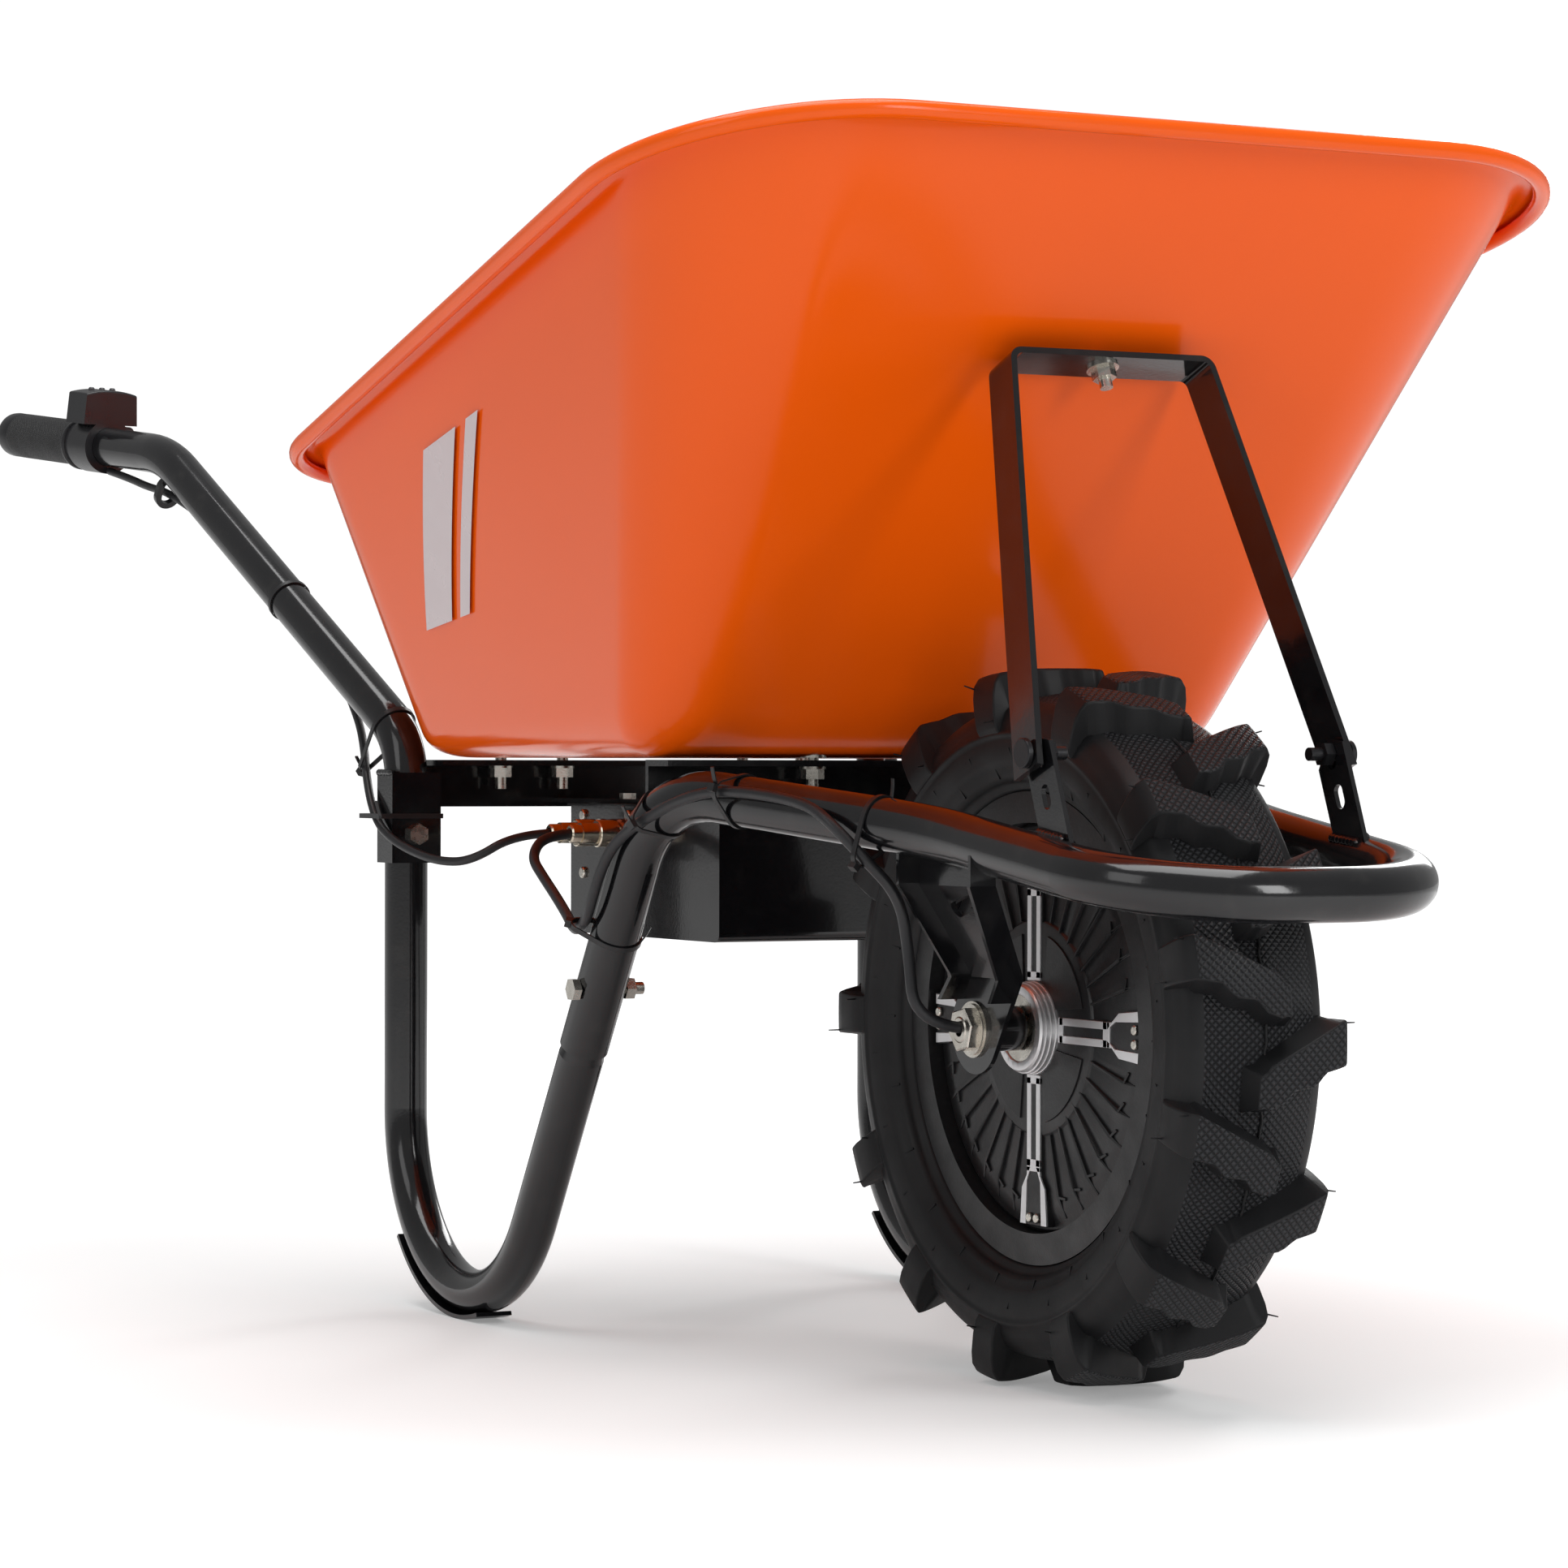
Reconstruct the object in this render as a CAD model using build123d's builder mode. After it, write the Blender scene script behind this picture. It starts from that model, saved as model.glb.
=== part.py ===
from build123d import *
from math import cos, pi, radians, sin, sqrt, tan
import os

# Battery powered wheelbarrow: hub motor wheel, steel tube frame, pressed tray.
# Frame of the model: +X towards the wheel, +Y to the left of a person at the handles,
# +Z up. The ground is Z = 0 and the origin lies under the middle of the whole object.
# All sizes are in millimetres.

# ---- driving dimensions -------------------------------------------------------------
overall_length = 1484.0
tube_od = 32.0              # hoop tube
tube_wall = 1.8
leg_od = 30.0               # legs and handles
leg_wall = 1.8
swage_od = 28.0             # drawn-down end of a leg inside the hoop tube
plate = 3.0                 # folded brackets and tabs

tyre_r = 217.5              # over the lugs
carcass_r = 203.5
rim_lip_r = 143.0           # ten inch rim
rim_half = 35.0
lug_count = 13

hoop_reach = 252.7          # from the axle to the middle of the front tube
axle_x = overall_length / 2 - hoop_reach - tube_od / 2
axle_z = tyre_r
axle_half = 84.0
axle_d = 16.0

leg_y = 189.0
leg_x = axle_x - 595.0
leg_bend_r = 117.0
leg_lean = 32.3             # the front part of a leg leans this far from upright
skid_t = 3.0

rim_z0 = 724.0              # height of the tray rim over the axle
rim_slope = 0.222           # the rim rises towards the front
tray_t = 1.6
floor_z = 379.0             # underside of the tray floor, on top of both cross rails

case_y = 90.0
clear = 0.3                 # gap between pieces that only sit side by side

right, left = -1, 1         # side of the barrow, as the sign of Y

os.makedirs("parts", exist_ok=True)
nodes = []


def write(part, label):
    part.label = label
    export_step(part, f"parts/{label}.step")
    nodes.append(label)


def group(pieces, label):
    write(Compound(label=label, children=list(pieces)), label)


# ---- small building blocks ----------------------------------------------------------
def across(x, y, z, side):
    """Plane at a point, facing outwards along Y on the given side."""
    return Plane(origin=(x, y, z), x_dir=(1, 0, 0), z_dir=(0, side, 0))


def tube(points, radii, outer, inner=0.0):
    """Round tube or rod along straight runs joined by bends."""
    with BuildPart() as body:
        with BuildLine() as path:
            if radii:
                FilletPolyline(*points, radius=radii)
            else:
                Line(*points)
        with BuildSketch(Plane(origin=path.line @ 0, z_dir=path.line % 0)):
            Circle(outer / 2)
            if inner:
                Circle(inner / 2, mode=Mode.SUBTRACT)
        sweep()
    return body.part


def rod(plane, diameter, start, end):
    """Plain cylinder on a plane's axis, for shanks and for cutting holes."""
    with BuildPart() as body:
        with BuildSketch(plane.offset(start)):
            Circle(diameter / 2)
        extrude(amount=end - start)
    return body.part


def hex_bolt(plane, size, grip):
    """Hexagon bolt: the head sits on the plane, the shank runs against its normal."""
    flats = {5: 8.0, 6: 10.0, 8: 13.0}[size]
    with BuildPart() as body:
        with BuildSketch(plane):
            RegularPolygon(flats / 2, 6, major_radius=False)
        extrude(amount=0.65 * size)
        with BuildSketch(plane):
            Circle(size / 2)
        extrude(amount=-grip)
    return body.part


def carriage_bolt(plane, size, grip):
    """Round headed bolt: a low dome on the plane, the shank against its normal."""
    with BuildPart() as body:
        with BuildSketch(plane):
            Circle(1.1 * size)
        extrude(amount=0.4 * size)
        fillet(body.edges().filter_by(GeomType.CIRCLE).sort_by(lambda e: e.length)[-1:], 0.1 * size)
        with BuildSketch(plane):
            Circle(size / 2)
        extrude(amount=-grip)
    return body.part


def nut(plane, size):
    """Hexagon nut whose outer face looks along the plane's normal."""
    flats = {5: 8.0, 6: 10.0, 8: 13.0, 16: 24.0}[size]
    with BuildPart() as body:
        with BuildSketch(plane):
            RegularPolygon(flats / 2, 6, major_radius=False)
            Circle(size / 2 + 0.05, mode=Mode.SUBTRACT)
        extrude(amount=0.8 * size)
    return body.part


def washer(plane, bore, outer, thickness):
    with BuildPart() as body:
        with BuildSketch(plane):
            Circle(outer / 2)
            Circle(bore / 2, mode=Mode.SUBTRACT)
        extrude(amount=thickness)
    return body.part


def pan_screw(plane, size, length):
    """Small cross-head screw: head on the plane, shank against its normal."""
    with BuildPart() as body:
        with BuildSketch(plane):
            Circle(size)
        extrude(amount=0.6 * size)
        fillet(body.edges().sort_by(Axis(plane.origin, plane.z_dir))[-1:], 0.35 * size)
        with BuildSketch(plane):
            Circle(size / 2)
        extrude(amount=-length)
    return body.part


# ---- points that several pieces share -----------------------------------------------
lean = radians(leg_lean)
bend_x = leg_x + leg_bend_r                     # centre of the U bend of a leg
bend_z = leg_bend_r + leg_od / 2 + skid_t
# the front part of a leg runs up and forward from the bend along this line
lean_dir = Vector(sin(lean), 0, cos(lean))
lean_start = Vector(bend_x + leg_bend_r * cos(lean), 0, bend_z - leg_bend_r * sin(lean))


def on_lean(z, side):
    """Point on the middle line of the inclined part of a leg."""
    run = (z - lean_start.Z) / lean_dir.Z
    point = lean_start + lean_dir * run
    return Vector(point.X, side * leg_y, z)


hoop_end_z = 194.0          # lower end of the hoop tube, where the leg goes in
hoop_top_z = 361.5
hoop_waist_x = axle_x + 30.0
hoop_waist_y = 114.0
hoop_waist_z = 336.0
hoop_front_x = axle_x + hoop_reach
hoop_front_y = 104.0
hoop_front_z = 304.0
leg_joint_z = 232.0         # through bolt of the leg joint

bracket_top = 370.0
bracket_bottom = 307.0
bracket_bolt_z = 327.0
tube_meet_z = 346.0         # leg and handle tubes meet inside the bracket

handle_knee = (leg_x, leg_y, 393.0)
handle_bend = (axle_x - 953.0, 235.0, 612.0)
handle_tip = (axle_x - 1208.8, 269.4, 642.3)


def mirrored(point, side):
    return (point[0], side * abs(point[1]), point[2])


# ---- front hoop ---------------------------------------------------------------------
def hoop_half(side):
    """Corner points of one side of the hoop, from its lower end to the front corner."""
    low = on_lean(hoop_end_z, side)
    top = on_lean(hoop_top_z, side)
    return [
        (low.X, low.Y, low.Z),
        (top.X, top.Y, top.Z),
        (hoop_waist_x, side * hoop_waist_y, hoop_waist_z),
        (hoop_front_x, side * hoop_front_y, hoop_front_z),
    ]


def leg_joint_plane(side):
    """Outer seat of the through bolt of a leg joint."""
    point = on_lean(leg_joint_z, side)
    return across(point.X, point.Y + side * (tube_od / 2 + 0.2), point.Z, side)


hoop_points = hoop_half(right) + hoop_half(left)[::-1]
hoop_radii = [85, 260, 88, 88, 260, 85]
front_hoop = tube(hoop_points, hoop_radii, tube_od, tube_od - 2 * tube_wall)
for side in (right, left):
    front_hoop -= rod(leg_joint_plane(side), 8.4, -40, 10)
write(front_hoop, "front_hoop")


# ---- legs with their skid strips ----------------------------------------------------
def bracket_bolt_plane(side):
    """Seat of the bracket bolt, on the front face of the bracket."""
    front = leg_x + leg_od / 2 + 0.4 + plate
    return Plane(origin=(front, side * leg_y, bracket_bolt_z), z_dir=(1, 0, 0))


def leg(side):
    drop = leg_bend_r * tan((pi - lean) / 2)
    corner_z = bend_z - drop
    shoulder = on_lean(hoop_end_z - 6.0, side)
    neck = on_lean(hoop_end_z - 1.0, side)
    points = [
        (leg_x, side * leg_y, tube_meet_z - 1.0),
        (leg_x, side * leg_y, corner_z),
        (shoulder.X, shoulder.Y, shoulder.Z),
    ]
    body = tube(points, [leg_bend_r], leg_od, leg_od - 2 * leg_wall)
    end = on_lean(leg_joint_z + 22.0, side)
    with BuildPart() as insert:
        with BuildSketch(Plane(origin=shoulder, z_dir=lean_dir)):
            Circle(leg_od / 2)
            Circle(swage_od / 2 - leg_wall, mode=Mode.SUBTRACT)
        with BuildSketch(Plane(origin=neck, z_dir=lean_dir)):
            Circle(swage_od / 2)
            Circle(swage_od / 2 - leg_wall, mode=Mode.SUBTRACT)
        loft()
        with BuildSketch(Plane(origin=neck, z_dir=lean_dir)):
            Circle(swage_od / 2)
            Circle(swage_od / 2 - leg_wall, mode=Mode.SUBTRACT)
        extrude(amount=(end - neck).length)
    body += insert.part
    body -= rod(leg_joint_plane(side), 8.4, -40, 10)
    body -= rod(bracket_bolt_plane(side), 8.4, -50, 10)
    return body


for side, name in ((right, "right"), (left, "left")):
    write(leg(side), f"leg_{name}")


def skid(side):
    """Steel wear strip welded under the rear half of the U bend."""
    plane = Plane(origin=(bend_x, side * leg_y, bend_z), x_dir=(1, 0, 0), z_dir=(0, -1, 0))
    outer_r = leg_bend_r + leg_od / 2 + skid_t
    inner_r = outer_r - skid_t + 0.1
    with BuildPart() as strip:
        with BuildSketch(plane):
            with BuildLine():
                outer_arc = CenterArc((0, 0), outer_r, 221, 64)
                inner_arc = CenterArc((0, 0), inner_r, 221, 64)
                Line(outer_arc @ 0, inner_arc @ 0)
                Line(outer_arc @ 1, inner_arc @ 1)
            make_face()
        extrude(amount=13, both=True)
    return strip.part


group([skid(right), skid(left)], "leg_skids")


# ---- handles ------------------------------------------------------------------------
def handle(side):
    knee = mirrored(handle_knee, side)
    points = [
        (leg_x, side * leg_y, tube_meet_z + 1.0),
        knee,
        mirrored(handle_bend, side),
        mirrored(handle_tip, side),
    ]
    return tube(points, [52, 120], leg_od, leg_od - 2 * leg_wall)


for side, name in ((right, "right"), (left, "left")):
    write(handle(side), f"handle_{name}")


def grip_plane(side, distance):
    """Plane across the handle, a distance forward of its end, facing backwards."""
    tip = Vector(*mirrored(handle_tip, side))
    bend = Vector(*mirrored(handle_bend, side))
    back = (tip - bend).normalized()
    return Plane(origin=tip - back * distance, x_dir=(0, 0, 1), z_dir=back)


grip_length = 122.0
grip_wall = 2.6


def grip(side):
    """Closed rubber sleeve over the end of a handle, with a flange at its inner end."""
    outer_r = leg_od / 2 + grip_wall
    inner_r = leg_od / 2 + 0.05
    plane = grip_plane(side, grip_length)
    with BuildPart() as sleeve:
        with BuildSketch(plane):
            Circle(outer_r + 3.0)
        extrude(amount=3.0)
        with BuildSketch(plane):
            Circle(outer_r)
        extrude(amount=grip_length + 4.0)
        fillet(sleeve.edges().sort_by(Axis(plane.origin, plane.z_dir))[-1:], 3.4)
        with BuildSketch(plane):
            Circle(inner_r)
        extrude(amount=grip_length + 0.2, mode=Mode.SUBTRACT)
    return sleeve.part


for side, name in ((right, "right"), (left, "left")):
    write(grip(side), f"grip_{name}")

# ---- throttle housing, thumb lever and power button on the right handle -------------
lever_width = 9.0
housing_start = grip_length + 0.4 + lever_width + 0.8
housing_depth = 31.0
housing_back = grip_plane(right, housing_start)
housing_front = grip_plane(right, housing_start + housing_depth)
# in these planes local X points up; in the front one local Y is as in the back one
box_half = 23.0
box_top = 44.0
clamp_r = 21.0
button_d = 11.0
button_up = 32.0

with BuildPart() as throttle_housing:
    with BuildSketch(housing_front):
        Circle(clamp_r)
        with BuildLine():
            top_arc = ThreePointArc((box_top - 3, -box_half + 1.5), (box_top, 0), (box_top - 3, box_half - 1.5))
            Polyline(top_arc @ 1, (17, box_half), (17, -box_half), top_arc @ 0)
        make_face()
        Circle(leg_od / 2 + 0.1, mode=Mode.SUBTRACT)
    extrude(amount=housing_depth)
    fillet(throttle_housing.faces().sort_by(Axis(housing_front.origin, housing_front.x_dir))[-1].edges(), 1.6)
    # well for the power button in the rear face
    with BuildSketch(Plane(origin=housing_back.from_local_coords((button_up, 0, 0)), x_dir=(0, 0, 1),
                           z_dir=housing_back.z_dir)):
        Circle(button_d / 2 + 0.25)
    extrude(amount=-12, mode=Mode.SUBTRACT)
    # seats of the three indicator lamps in the top face
    for lamp in (-9, 0, 9):
        seat = housing_back.from_local_coords((0, lamp, -13))
        with BuildSketch(Plane(origin=seat, z_dir=housing_back.x_dir).offset(box_top - 8)):
            Circle(2.6)
        extrude(amount=12, mode=Mode.SUBTRACT)
write(throttle_housing.part, "throttle_housing")


def lamp_part(offset):
    seat = housing_back.from_local_coords((0, offset, -13))
    with BuildPart() as lamp:
        with BuildSketch(Plane(origin=seat, z_dir=housing_back.x_dir).offset(box_top - 7.5)):
            Circle(2.5)
        extrude(amount=9.0)
        fillet(lamp.edges().sort_by(Axis(seat, housing_back.x_dir))[-1:], 1.6)
    return lamp.part


group([lamp_part(offset) for offset in (-9, 0, 9)], "indicator_lamps")

with BuildPart() as power_button:
    cap = Plane(origin=housing_back.from_local_coords((button_up, 0, -6)), x_dir=(0, 0, 1),
                z_dir=housing_back.z_dir)
    with BuildSketch(cap):
        Circle(button_d / 2 - 0.1)
    extrude(amount=8.5)
    fillet(power_button.edges().sort_by(Axis(cap.origin, cap.z_dir))[-1:], 1.2)
write(power_button.part, "power_button")

lever_plane = grip_plane(right, grip_length + 0.4)
with BuildPart() as thumb_lever:
    with BuildSketch(lever_plane):
        Circle(18.5)
        # paddle on the inner side of the handle, raised for the thumb
        with Locations((7, 25)):
            SlotOverall(26, 9, rotation=65)
        Circle(leg_od / 2 + 0.06, mode=Mode.SUBTRACT)
    extrude(amount=-lever_width)
write(thumb_lever.part, "thumb_lever")


# ---- cable hook and stop on the right handle ----------------------------------------
def straight_plane(side, run, lift):
    """Plane across the straight part of a handle, run mm forward of its rear bend."""
    knee = Vector(*mirrored(handle_knee, side))
    bend = Vector(*mirrored(handle_bend, side))
    forward = (knee - bend).normalized()
    up = (Vector(0, 0, 1) - forward * forward.Z).normalized()
    return Plane(origin=bend + forward * run + up * lift, x_dir=up, z_dir=forward)


hook_lift = -(leg_od / 2 + 8.2)
with BuildPart() as cable_hook:
    with BuildSketch(straight_plane(right, 16, hook_lift)):
        SlotOverall(27, 20)
        SlotOverall(18, 11, mode=Mode.SUBTRACT)
    extrude(amount=2.5, both=True)
    with BuildSketch(straight_plane(right, 8, 0)):
        Circle(leg_od / 2 + 0.02)
    extrude(amount=8, mode=Mode.SUBTRACT)
handle_points = [(leg_x, right * leg_y, tube_meet_z + 1.0), mirrored(handle_knee, right),
                 mirrored(handle_bend, right), mirrored(handle_tip, right)]
hook_piece = cable_hook.part - tube(handle_points, [52, 120], leg_od + 0.05)
write(hook_piece.solids().sort_by(SortBy.VOLUME)[-1], "cable_hook")


# ---- brackets at the tops of the legs -----------------------------------------------
def bracket(side):
    """Channel folded from plate: its web faces the wheel, its flanges run back past the tube."""
    inner = leg_od / 2 + 0.4
    web_near = leg_x + inner
    outer = inner + plate
    with BuildPart() as body:
        with BuildSketch(Plane.XY.offset(bracket_bottom)):
            with Locations((web_near + plate / 2, side * leg_y)):
                Rectangle(plate, 2 * outer)
            for flange in (-1, 1):
                with Locations((web_near + plate / 2 - 12, side * leg_y + flange * (inner + plate / 2))):
                    Rectangle(24 + plate, plate)
        extrude(amount=bracket_top - bracket_bottom)
        with BuildSketch(bracket_bolt_plane(side).offset(-plate - 1)):
            Circle(4.2)
        extrude(amount=plate + 2, mode=Mode.SUBTRACT)
    return body.part


for side, name in ((right, "right"), (left, "left")):
    write(bracket(side), f"bracket_{name}")

# ---- cross rails under the tray -----------------------------------------------------
rail_t = 4.0
rail_drop = 33.0
rail_reach = 32.0
rear_rail_x = leg_x - 11.0                  # back face of the rear rail's web
front_rail_x = axle_x - 215.0
rear_rail_half = leg_y - leg_od / 2 - 0.4 - plate
front_rail_half = leg_y - 1.0               # its ends are coped onto the hoop tube
tray_bolts = [(rear_rail_x + 19, y) for y in (-120, -72, 72, 120)]
tray_bolts += [(front_rail_x + 19, y) for y in (-79, 79)]


def rail(back, half, label):
    """Angle bar across the frame: upright web at the back, flat flange on top."""
    with BuildPart() as bar:
        with BuildSketch(Plane(origin=(back, -half, floor_z), x_dir=(1, 0, 0), z_dir=(0, 1, 0))):
            Polygon((0, 0), (rail_reach, 0), (rail_reach, rail_t), (rail_t, rail_t),
                    (rail_t, rail_drop), (0, rail_drop), align=None)
        extrude(amount=2 * half)
        for x, y in tray_bolts:
            if back < x < back + rail_reach:
                with Locations((x, y, floor_z)):
                    Hole(4.2, 2 * rail_t)
    write(bar.part - tube(hoop_points, hoop_radii, tube_od + 0.05), label)


rail(rear_rail_x, rear_rail_half, "rear_rail")
rail(front_rail_x, front_rail_half, "front_rail")


# ---- tray ---------------------------------------------------------------------------
bead_r = 5.5
floor_front, floor_front_half, floor_front_r = -170.0, 212.0, 45.0
floor_rear, floor_rear_half, floor_rear_r = -624.0, 186.0, 92.0
top_front, top_front_half, top_front_r = 110.0, 315.5, 120.0
top_rear, top_rear_half, top_rear_r = -628.0, 265.3, 80.0
bead_front, bead_front_half, bead_front_r = 125.5, 331.3, 138.0
bead_rear, bead_rear_half, bead_rear_r = -640.5, 279.0, 97.0
wall_inset = 1.75
floor_fillet = 26.0
stretch = sqrt(1 + rim_slope**2)            # length along the rim over length along X
rim_normal = Vector(-rim_slope, 0, 1).normalized()
rim_top = Plane(origin=(axle_x, 0, rim_z0), x_dir=(1, 0, rim_slope), z_dir=rim_normal)
floor_plane = Plane(origin=(axle_x, 0, floor_z), x_dir=(1, 0, 0), z_dir=(0, 0, 1))


def outline(front, rear, front_half, rear_half, front_r, rear_r, inset=0.0):
    """Rounded four sided outline of the tray at one level, symmetric about the middle."""
    Polygon((front - inset, -front_half + inset), (front - inset, front_half - inset),
            (rear + inset, rear_half - inset), (rear + inset, -rear_half + inset), align=None)
    corners = BuildSketch._get_context().vertices().sort_by(Axis.X)
    fillet(corners[2:], front_r - inset)
    corners = BuildSketch._get_context().vertices().sort_by(Axis.X)
    fillet(corners[:2], rear_r - inset)


def basin(inset, bottom, corner):
    """Solid filling the tray up to the rim, inset from the outer skin."""
    with BuildPart() as fill:
        with BuildSketch(floor_plane.offset(bottom)):
            outline(floor_front, floor_rear, floor_front_half, floor_rear_half,
                    floor_front_r, floor_rear_r, inset)
        with BuildSketch(rim_top.offset(-tray_t)):
            outline(top_front * stretch, top_rear * stretch, top_front_half, top_rear_half,
                    top_front_r, top_rear_r, inset)
        loft(ruled=True)
        fillet(fill.edges().group_by(Axis.Z)[0], corner)
    return fill.part


with BuildPart() as tray:
    add(basin(0.0, 0.0, floor_fillet))
    add(basin(wall_inset, tray_t, floor_fillet - tray_t), mode=Mode.SUBTRACT)
    # flat flange turned outwards at the top of the walls
    with BuildSketch(rim_top.offset(-tray_t)) as flange:
        outline(bead_front * stretch, bead_rear * stretch, bead_front_half, bead_rear_half,
                bead_front_r, bead_rear_r)
    extrude(amount=tray_t)
    with BuildSketch(rim_top.offset(-tray_t)):
        outline(top_front * stretch, top_rear * stretch, top_front_half, top_rear_half,
                top_front_r, top_rear_r, wall_inset)
    extrude(amount=tray_t, mode=Mode.SUBTRACT)
    for x, y in tray_bolts:
        with Locations((x, y, floor_z + tray_t)):
            Hole(4.2, 10)
# rolled bead along the edge of the flange
with BuildSketch(rim_top.offset(-bead_r)) as bead_path:
    outline(bead_front * stretch, bead_rear * stretch, bead_front_half, bead_rear_half,
            bead_front_r, bead_rear_r)
bead_wire = bead_path.sketch.faces()[0].outer_wire()
with BuildPart() as bead:
    with BuildSketch(Plane(origin=bead_wire @ 0, z_dir=bead_wire % 0)):
        Circle(bead_r)
        Circle(bead_r - tray_t, mode=Mode.SUBTRACT)
    sweep(path=bead_wire)
tray_body = tray.part + bead.part
write(tray_body, "tray")


# ---- brace from the hoop to the nose of the tray ------------------------------------
def nose_x(z):
    """Outer skin of the nose panel at a height."""
    panel_top = rim_top.offset(-tray_t).from_local_coords((top_front * stretch, 0, 0))
    foot = axle_x + floor_front
    return foot + (z - floor_z) * (panel_top.X - foot) / (panel_top.Z - floor_z)


brace_wide, brace_thick = 28.0, 4.0
brace_top = Vector(axle_x + 37.0, 0, 624.8)         # front edge of the bar at its top
brace_tip = Vector(axle_x + 131.0, 0, 387.5)        # front edge at its lower ends
brace_top_half, brace_tip_half = 71.0, 110.3
brace_down = (brace_tip - brace_top).normalized()
brace_tip = brace_tip + brace_down * 11
brace_across = Vector(-brace_down.Z, 0, brace_down.X)       # towards the front edge
brace_across = brace_across * (1 if brace_across.X > 0 else -1)
bar_plane = Plane(origin=brace_top - brace_across * brace_wide, x_dir=(0, 1, 0), z_dir=brace_across)
brace_run = (brace_tip - brace_top).length
side_sign = 1 if bar_plane.y_dir.dot(brace_down) > 0 else -1
brace_center = brace_top - brace_across * (brace_wide / 2)
brace_bolt_plane = Plane(origin=brace_center + brace_down * brace_thick, z_dir=brace_down)

with BuildPart() as brace:
    with BuildSketch(bar_plane):
        with BuildLine():
            bar_line = FilletPolyline(
                (-brace_tip_half, side_sign * brace_run), (-brace_top_half, 0),
                (brace_top_half, 0), (brace_tip_half, side_sign * brace_run), radius=9)
            offset(bar_line, amount=brace_thick, side=Side.RIGHT if side_sign < 0 else Side.LEFT)
        make_face()
    extrude(amount=brace_wide)
brace_body = brace.part
brace_body -= rod(brace_bolt_plane, 8.4, -20, 20)
tab_bolt_x, tab_bolt_z = axle_x + 122.0, 383.0
# outer face of a brace leg at its bolt
leg_outer = brace_top_half + (brace_tip_half - brace_top_half) * (1 - 10 / brace_run)


for side in (right, left):
    brace_body -= rod(across(tab_bolt_x, 0, tab_bolt_z, side), 8.6, 60, 130)
write(brace_body, "brace")

# rubber buffer between the bar and the nose panel, with a stud moulded into it
pad_half = 9.0


pad_points = []
for shift in (-pad_half, pad_half):
    base = brace_center + brace_across * shift
    pad_points.append((base, Vector(nose_x(base.Z) + clear, base.Y, base.Z)))
with BuildPart() as brace_pad:
    pad_plane = Plane(origin=(0, 0, 0), x_dir=(1, 0, 0), z_dir=(0, -1, 0))
    with BuildSketch(pad_plane):
        Polygon((pad_points[0][0].X, pad_points[0][0].Z), (pad_points[1][0].X, pad_points[1][0].Z),
                (pad_points[1][1].X, pad_points[1][1].Z), (pad_points[0][1].X, pad_points[0][1].Z),
                align=None)
    extrude(amount=14, both=True)
pad_body = brace_pad.part - rod(brace_bolt_plane, 8.0, -10, 10)
write(pad_body, "brace_pad")
stud = rod(brace_bolt_plane, 8.0, -8.5, 14)
brace_washer = washer(brace_bolt_plane, 8.4, 20, 1.6)
brace_nut = nut(brace_bolt_plane.offset(1.6), 8) - rod(brace_bolt_plane, 8.02, -20, 20)
group([stud, brace_washer, brace_nut], "brace_fastener")


def tab(side):
    """Slotted plate standing on the hoop tube beside the wheel."""
    tab_t = 3.0
    inner_y = 99.6
    base = Vector(axle_x + 157.5, 0, 333.0)
    with BuildPart() as body:
        with BuildSketch(Plane(origin=base, x_dir=brace_across, z_dir=(0, -1, 0))):
            turn = 1 if Plane(origin=base, x_dir=brace_across, z_dir=(0, -1, 0)).y_dir.Z > 0 else -1
            Polygon((0, -22 * turn), (0, 62 * turn), (-13, 69 * turn), (-29, 55 * turn),
                    (-29, -22 * turn), align=None)
            across_bolt = Vector(tab_bolt_x, 0, tab_bolt_z) - base
            bolt_u, bolt_v = across_bolt.dot(brace_across), across_bolt.dot(brace_down) * -turn
            with Locations((bolt_u, bolt_v - 2 * turn), (bolt_u, bolt_v - 27 * turn)):
                SlotOverall(15, 8.6, rotation=90, mode=Mode.SUBTRACT)
        extrude(amount=-side * tab_t)
    placed = body.part.moved(Location((0, side * inner_y, 0)))
    placed -= tube(hoop_points, hoop_radii, tube_od + 0.1)
    return placed.solids().sort_by(SortBy.VOLUME)[-1]


for side, name in ((right, "right"), (left, "left")):
    write(tab(side), f"tab_{name}")
tab_hardware = []
for side in (right, left):
    seat = across(tab_bolt_x, side * (leg_outer + 1.6), tab_bolt_z, side)
    tab_hardware.append(carriage_bolt(seat, 8, 26))
    inner_seat = across(tab_bolt_x, side * 99.3, tab_bolt_z, -side)
    tab_hardware.append(nut(inner_seat, 8) - rod(seat, 8.02, -40, 0))
group(tab_hardware, "tab_bolts")


# ---- forks that carry the axle ------------------------------------------------------
fork_low_y = 70.0           # inner face of the lower part of a fork
fork_step = 40.0
fork_flange = 17.0


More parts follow.
